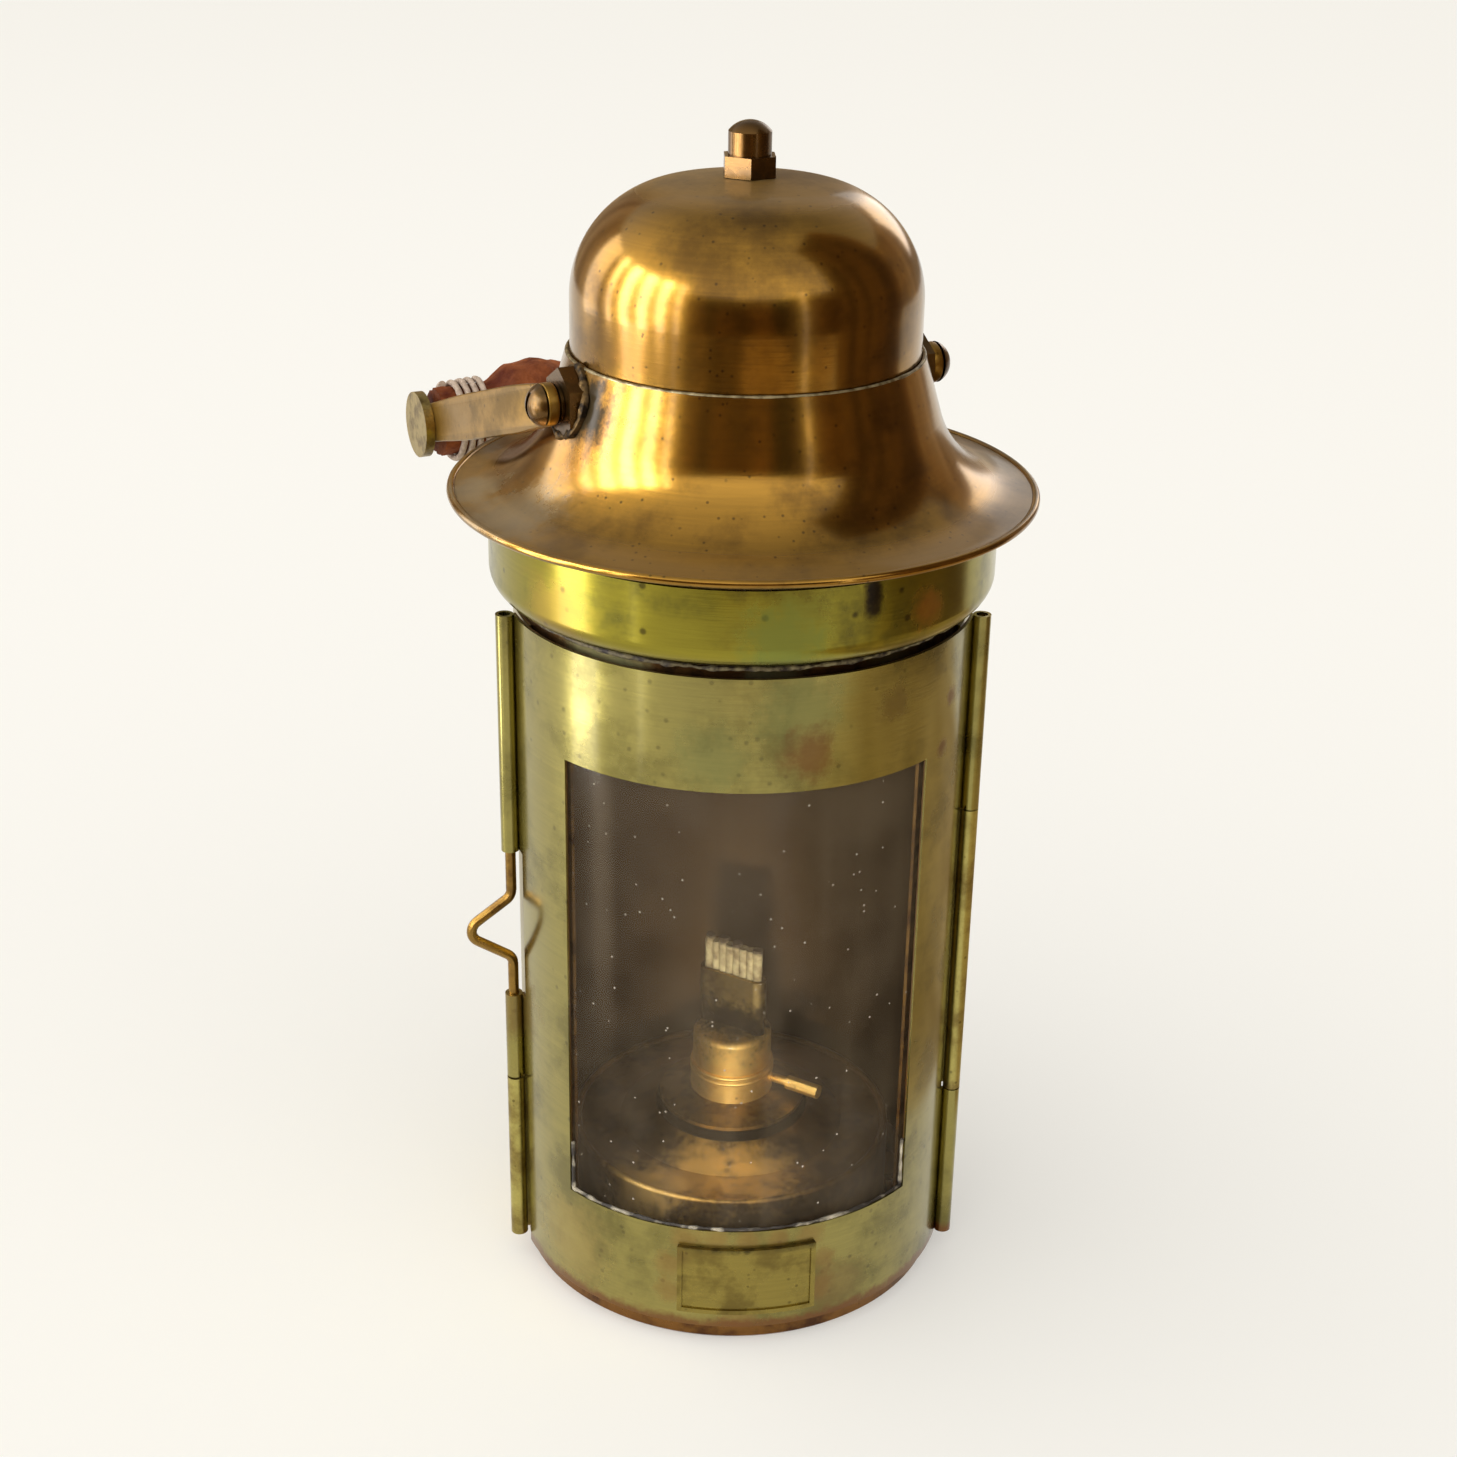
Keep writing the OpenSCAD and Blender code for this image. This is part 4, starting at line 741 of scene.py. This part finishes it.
add(tree, "ShaderNodeOutputMaterial", {"Surface": shader.outputs[0]})
wick = from_nodes("frayed_cotton_wick", bpy.data.meshes.new("wick_start"), wick_tree, wick_sockets, {
    "Yarns": 8, "Width": 15.4 * mm, "Length": wick_top - wick_low.z, "Yarn radius": 1.15 * mm,
    "Frayed length": 9 * mm, "Fray": 1.1 * mm, "Finish": cotton})
wick_turn = math.radians(-33)
wick_middle = (wick_low + wick_high) / 2
wick_frame = Matrix.Rotation(wick_turn, 4, "Z")
wick_frame.translation = (wick_middle.x, wick_middle.y, wick_low.z)
wick.data.transform(wick_frame)
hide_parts("wick")
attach(wick, "wick")

# Leather grip: a strip of red-brown leather rolled round the rod and drawn in at its ends, lumpy
# and creased with age.
grip_frame = Matrix((along, reach, along.cross(reach))).transposed().to_4x4()
grip_frame.translation = grip_middle
grip_half = 43.6 * mm
grip_radii = [(-1.0, 8.2), (-0.86, 8.0), (-0.72, 8.6), (-0.55, 12.2), (-0.42, 13.2), (-0.24, 11.6),
              (-0.08, 9.8), (0.1, 11.2), (0.3, 12.0), (0.55, 11.0), (0.78, 8.6), (1.0, 8.2)]
grip_rings = 96
grip_sides = 72
lump_high = 0.55 * mm
crease_deep = 0.5 * mm
crease_wide = 0.12
work = bmesh.new()
rings = []
for i in range(grip_rings + 1):
    share = -1 + 2 * i / grip_rings
    ring = []
    for k in range(grip_sides):
        turn = 2 * math.pi * k / grip_sides
        across, upward = math.cos(turn), math.sin(turn)
        lump = noise.fractal(Vector((share * 5, 1.6 * across, 1.6 * upward)), 1.0, 2.0, 3)
        fold = abs(noise.noise(Vector((share * 9, 3 * across, 3 * upward + 4.0))))
        crease = max(0.0, crease_wide - fold) / crease_wide
        r = eased(grip_radii, share) * mm + lump_high * lump - crease_deep * crease
        ring.append(work.verts.new(grip_frame @ Vector((share * grip_half, r * across, r * upward))))
    rings.append(ring)
for a, b in zip(rings, rings[1:]):
    for k in range(grip_sides):
        work.faces.new((a[k], a[(k + 1) % grip_sides], b[(k + 1) % grip_sides], b[k]))
work.faces.new(rings[0])
work.faces.new(rings[-1])
leather_mesh = bpy.data.meshes.new("grip_leather_wrap")
work.to_mesh(leather_mesh)
work.free()
grip = show("grip_leather_wrap", leather_mesh, sharp=70)
leather, tree, place = blank_material("tanned_leather_red_brown")
hide = add(tree, "ShaderNodeTexNoise", {
    "Vector": place, "Scale": 1 / (9 * mm), "Detail": 6.0}).outputs["Fac"]
grain = add(tree, "ShaderNodeTexVoronoi", {"Vector": place, "Scale": 1 / (0.9 * mm)}).outputs["Distance"]
worn = add(tree, "ShaderNodeMapRange", {"Value": hide, "From Min": 0.35, "From Max": 0.68})
tint = add(tree, "ShaderNodeMix", {
    0: worn.outputs[0], 6: linear("52200F"), 7: linear("A05C34")}, data_type="RGBA").outputs[2]
skin = add(tree, "ShaderNodeBump", {"Height": grain, "Strength": 0.5, "Distance": 0.2 * mm})
sheen = add(tree, "ShaderNodeMapRange", {"Value": hide, "To Min": 0.55, "To Max": 0.8})
shader = add(tree, "ShaderNodeBsdfPrincipled", {
    "Base Color": tint, "Roughness": sheen.outputs[0], "IOR": 1.5, "Specular IOR Level": 0.08,
    "Normal": skin.outputs[0]})
add(tree, "ShaderNodeOutputMaterial", {"Surface": shader.outputs[0]})
leather_mesh.materials.append(leather)
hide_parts("grip_leather")
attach(grip, "bail")

# Thongs: a thin strip of pale rawhide wound four times round each end of the leather. It was put on
# wet and shrank, so it sits tight and kinked.
thong_tree, thong_sockets, given = new_tree("thong_winding", {
    "Turns": "Float", "Start": "Float", "Length": "Float", "Outer radius": "Float",
    "Inner radius": "Float", "Thickness": "Float"})
winding = add(thong_tree, "GeometryNodeCurveSpiral", {
    "Resolution": 40, "Rotations": given["Turns"], "Start Radius": given["Outer radius"],
    "End Radius": given["Inner radius"], "Height": given["Length"]})
half_thick = add(thong_tree, "ShaderNodeMath", {0: given["Thickness"], 1: 0.5}, operation="MULTIPLY")
strip = add(thong_tree, "GeometryNodeCurvePrimitiveCircle", {
    "Resolution": 12, "Radius": half_thick.outputs[0]})
wound = add(thong_tree, "GeometryNodeCurveToMesh", {
    "Curve": winding.outputs[0], "Profile Curve": strip.outputs["Curve"], "Fill Caps": True})
kinks = add(thong_tree, "ShaderNodeTexNoise", {"Scale": 1 / (1.6 * mm), "Detail": 2.0})
kinks = add(thong_tree, "ShaderNodeVectorMath", {
    0: kinks.outputs["Color"], 1: (0.5, 0.5, 0.5)}, operation="SUBTRACT")
kinks = add(thong_tree, "ShaderNodeVectorMath", {
    0: kinks.outputs[0], "Scale": 0.45 * mm}, operation="SCALE")
wound = add(thong_tree, "GeometryNodeSetPosition", {
    "Geometry": wound.outputs[0], "Offset": kinks.outputs[0]})
inset = add(thong_tree, "ShaderNodeCombineXYZ", {"X": given["Start"]})
one_end = add(thong_tree, "GeometryNodeTransform", {
    "Geometry": wound.outputs[0], "Translation": inset.outputs[0], "Rotation": (0, -math.pi / 2, 0)})
other_end = add(thong_tree, "GeometryNodeTransform", {
    "Geometry": one_end.outputs[0], "Rotation": (0, 0, math.pi)})
both = add(thong_tree, "GeometryNodeJoinGeometry", {0: other_end.outputs[0]})
thong_tree.links.new(one_end.outputs[0], both.inputs[0])
end_tree(thong_tree, given, both.outputs[0])
rawhide, tree, place = blank_material("rawhide_thong_grey_pink")
fibre = add(tree, "ShaderNodeTexNoise", {
    "Vector": place, "Scale": 1 / (1.2 * mm), "Detail": 5.0}).outputs["Fac"]
tint = add(tree, "ShaderNodeMix", {
    0: fibre, 6: linear("6E5446"), 7: linear("D8C4B0")}, data_type="RGBA").outputs[2]
skin = add(tree, "ShaderNodeBump", {"Height": fibre, "Strength": 0.6, "Distance": 0.25 * mm})
shader = add(tree, "ShaderNodeBsdfPrincipled", {
    "Base Color": tint, "Roughness": 0.7, "IOR": 1.5, "Normal": skin.outputs[0]})
add(tree, "ShaderNodeOutputMaterial", {"Surface": shader.outputs[0]})
thong_inset = 2.8 * mm
thongs = from_nodes("rawhide_thongs", bpy.data.meshes.new("thong_start"), thong_tree, thong_sockets, {
    "Turns": 4.0, "Start": grip_half - thong_inset, "Length": 8 * mm, "Outer radius": 8.85 * mm,
    "Inner radius": 9.3 * mm, "Thickness": 1.5 * mm, "Finish": rawhide})
thongs.data.transform(grip_frame)
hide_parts("grip_thongs")
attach(thongs, "bail")

# Studio: a plain pale floor under a soft light, with a spot on the burner. Tall panels on the left and
# striped cards all round are there only for the metal to mirror as streaks. The camera stands where
# the photograph's did.
floor_mesh = bpy.data.meshes.new("studio_floor")
floor_half = 12.0
floor_mesh.from_pydata([(-floor_half, -floor_half, 0), (floor_half, -floor_half, 0),
                        (floor_half, floor_half, 0), (-floor_half, floor_half, 0)], [], [(0, 1, 2, 3)])
floor = put("studio_floor", floor_mesh)
paper, tree, place = blank_material("backdrop_paper")
white = linear("F6F5F2")
lit = add(tree, "ShaderNodeBsdfPrincipled", {
    "Base Color": white, "Roughness": 0.9, "Specular IOR Level": 0.0})
glow = add(tree, "ShaderNodeEmission", {"Color": white, "Strength": 1.0})
rays = add(tree, "ShaderNodeLightPath")
seen = add(tree, "ShaderNodeMath", {
    0: rays.outputs["Is Camera Ray"], 1: rays.outputs["Is Glossy Ray"]}, operation="MAXIMUM")
seen = add(tree, "ShaderNodeMath", {
    0: seen.outputs[0], 1: rays.outputs["Is Transmission Ray"]}, operation="MAXIMUM")
paper_glow = 0.35
glow_share = add(tree, "ShaderNodeMath", {0: seen.outputs[0], 1: paper_glow}, operation="MULTIPLY")
mixed = add(tree, "ShaderNodeMixShader", {
    0: glow_share.outputs[0], 1: lit.outputs[0], 2: glow.outputs[0]})
add(tree, "ShaderNodeOutputMaterial", {"Surface": mixed.outputs[0]})
floor_mesh.materials.append(paper)

world = bpy.data.worlds.new("studio")
world.use_nodes = True
bpy.context.scene.world = world
tree = world.node_tree
tree.nodes.clear()
look = add(tree, "ShaderNodeTexCoord").outputs["Generated"]
upward = add(tree, "ShaderNodeSeparateXYZ", {0: look}).outputs["Z"]
dim_side = (0.45, 0.9, 0)
ahead = add(tree, "ShaderNodeVectorMath", {
    0: look, 1: dim_side}, operation="DOT_PRODUCT").outputs["Value"]
rising = add(tree, "ShaderNodeMapRange", {
    "Value": upward, "From Min": 0.14, "From Max": 0.42}, interpolation_type="SMOOTHSTEP").outputs[0]
falling = add(tree, "ShaderNodeMapRange", {
    "Value": upward, "From Min": 0.5, "From Max": 1.0, "To Min": 1.75, "To Max": 0.95},
    interpolation_type="SMOOTHSTEP").outputs[0]
dimmed = add(tree, "ShaderNodeMapRange", {
    "Value": ahead, "From Min": -0.2, "From Max": 0.5, "To Min": 1.0, "To Max": 0.3}).outputs[0]
overhead = add(tree, "ShaderNodeMath", {0: falling, 1: dimmed}, operation="MULTIPLY").outputs[0]
horizon_level = 0.9
strength = add(tree, "ShaderNodeMix", {0: rising, 2: horizon_level, 3: overhead}).outputs[0]
sky = add(tree, "ShaderNodeBackground", {"Color": linear("FFFBF2"), "Strength": strength})
add(tree, "ShaderNodeOutputWorld", {"Surface": sky.outputs[0]})


def panel(name, place, target, size, radiance, soft=False):
    """A light panel turned towards a point: soft ones light the scene, the others show in the metal."""
    lamp = bpy.data.lights.new(name, "AREA")
    lamp.shape = "RECTANGLE"
    lamp.size, lamp.size_y = size
    lamp.energy = radiance * math.pi * size[0] * size[1]
    light = put(name, lamp)
    light.location = place
    light.rotation_euler = (Vector(target) - Vector(place)).to_track_quat("-Z", "Y").to_euler()
    light.visible_camera = False
    light.visible_diffuse = soft
    light.visible_glossy = not soft


middle = (0, 0, 0.13)
low_middle = (0, 0, 0.09)
panel("overhead_panel", (-0.7, 0.1, 1.9), middle, size=(2.0, 2.0), radiance=0.5, soft=True)
side_far, side_z, side_high = 0.45, 0.29, 0.36
side_panels = ((118, 0.14, 3.0), (98, 0.04, 10.0), (84, 0.06, 18.0),
               (70, 0.06, 22.0), (57, 0.05, 19.0), (46, 0.03, 9.0))
for count, (turn, width, radiance) in enumerate(side_panels):
    turn = math.radians(turn)
    panel("side_panel_%d" % count, (-side_far * math.sin(turn), -side_far * math.cos(turn), side_z),
          middle, size=(width, side_high), radiance=radiance)
panel("low_panel", (-0.33, -0.075, 0.09), low_middle, size=(0.09, 0.18), radiance=6.0)
panel("low_slit", (-0.26, -0.24, 0.09), low_middle, size=(0.012, 0.18), radiance=3.0)
panel("right_slit", (0.25, -0.38, 0.24), middle, size=(0.02, 0.42), radiance=3.0)
panel("back_panel", (0.66, 1.35, 0.6), middle, size=(0.6, 0.6), radiance=2.0)
snoot = bpy.data.lights.new("burner_spot", "SPOT")
snoot.energy = 26.0
snoot.spot_size = math.radians(7)
snoot.spot_blend = 0.6
snoot.shadow_soft_size = 0.04
burner_spot = put("burner_spot", snoot)
burner_spot.location = (-0.06, -0.6, 0.12)
to_burner = Vector((0, 0, 0.05)) - burner_spot.location
burner_spot.rotation_euler = to_burner.to_track_quat("-Z", "Y").to_euler()


def dark_card(name, low, high, tint, shade, folds):
    """A striped card between two rows of corners. Only the metal's reflections show it."""
    mesh = bpy.data.meshes.new(name)
    faces = [(i, i + 1, len(low) + i + 1, len(low) + i) for i in range(len(low) - 1)]
    mesh.from_pydata(low + high, [], faces)
    card = put(name, mesh)
    felt, tree, place = blank_material(name + "_felt")
    across = add(tree, "ShaderNodeVectorMath", {0: place, 1: folds}, operation="MULTIPLY")
    stripes = add(tree, "ShaderNodeTexNoise", {"Vector": across.outputs[0], "Scale": 1.0, "Detail": 2.0})
    share = add(tree, "ShaderNodeMapRange", {
        "Value": stripes.outputs["Fac"], "From Min": 0.38, "From Max": 0.62})
    colour = add(tree, "ShaderNodeMix", {
        0: share.outputs[0], 6: linear(shade), 7: linear(tint)}, data_type="RGBA").outputs[2]
    shader = add(tree, "ShaderNodeBsdfPrincipled", {"Base Color": colour, "Roughness": 0.9})
    add(tree, "ShaderNodeOutputMaterial", {"Surface": shader.outputs[0]})
    mesh.materials.append(felt)
    card.visible_camera = False
    card.visible_shadow = False
    card.visible_diffuse = False


def upright(name, path, height, tint, shade, folds):
    """A card that stands on the floor along a path."""
    dark_card(name, [(x, y, 0) for x, y in path], [(x, y, height) for x, y in path], tint, shade, folds)


screen_x, screen_front, screen_back = 0.42, -0.3, 0.16
upright("studio_screen", [(screen_x, screen_front), (screen_x, screen_back)], height=1.2,
        tint="7A5C3A", shade="3A2616", folds=(14, 14, 0.5))
upright("studio_front_drape", arc((0, 0), 1.1, -200, 20), height=0.72,
        tint="9A7040", shade="140804", folds=(3.4, 3.4, 0.3))
upright("studio_back_drape", arc((0, 0), 1.9, 20, 160), height=1.3,
        tint="B09A78", shade="7A6248", folds=(5, 5, 0.3))
mat_z = 0.001
right_near, right_far = 0.11, 0.42
right_front, right_back = -0.3, 0.2
dark_card("studio_side_mat", [(right_near, right_front, mat_z), (right_far, right_front, mat_z)],
          [(right_near, right_back, mat_z), (right_far, right_back, mat_z)],
          tint="D4BE98", shade="A08860", folds=(14, 14, 0.5))
mat_half, mat_near, mat_far = 1.2, -0.52, -1.15
dark_card("studio_mat", [(-mat_half, mat_far, mat_z), (mat_half, mat_far, mat_z)],
          [(-mat_half, mat_near, mat_z), (mat_half, mat_near, mat_z)],
          tint="E0BC80", shade="2E160C", folds=(5, 0.3, 1))

camera_data = bpy.data.cameras.new("photo_camera")
photo_px = 1457
focal_px = 2269.47
camera_data.sensor_width = 36.0
camera_data.lens = camera_data.sensor_width * focal_px / photo_px
camera = put("photo_camera", camera_data)
camera_place = Vector((-24.7, -470.9, 341.7)) * mm
forward = Vector((0.0435, 0.9125, -0.4067)).normalized()
roll = 0.018
level_right = forward.cross(Vector((0, 0, 1))).normalized()
level_up = level_right.cross(forward)
right = level_right * math.cos(roll) + level_up * math.sin(roll)
camera.matrix_world = Matrix.Translation(camera_place) @ Matrix(
    (right, right.cross(forward), -forward)).transposed().to_4x4()
bpy.context.scene.camera = camera
bpy.context.scene.view_settings.view_transform = "Standard"
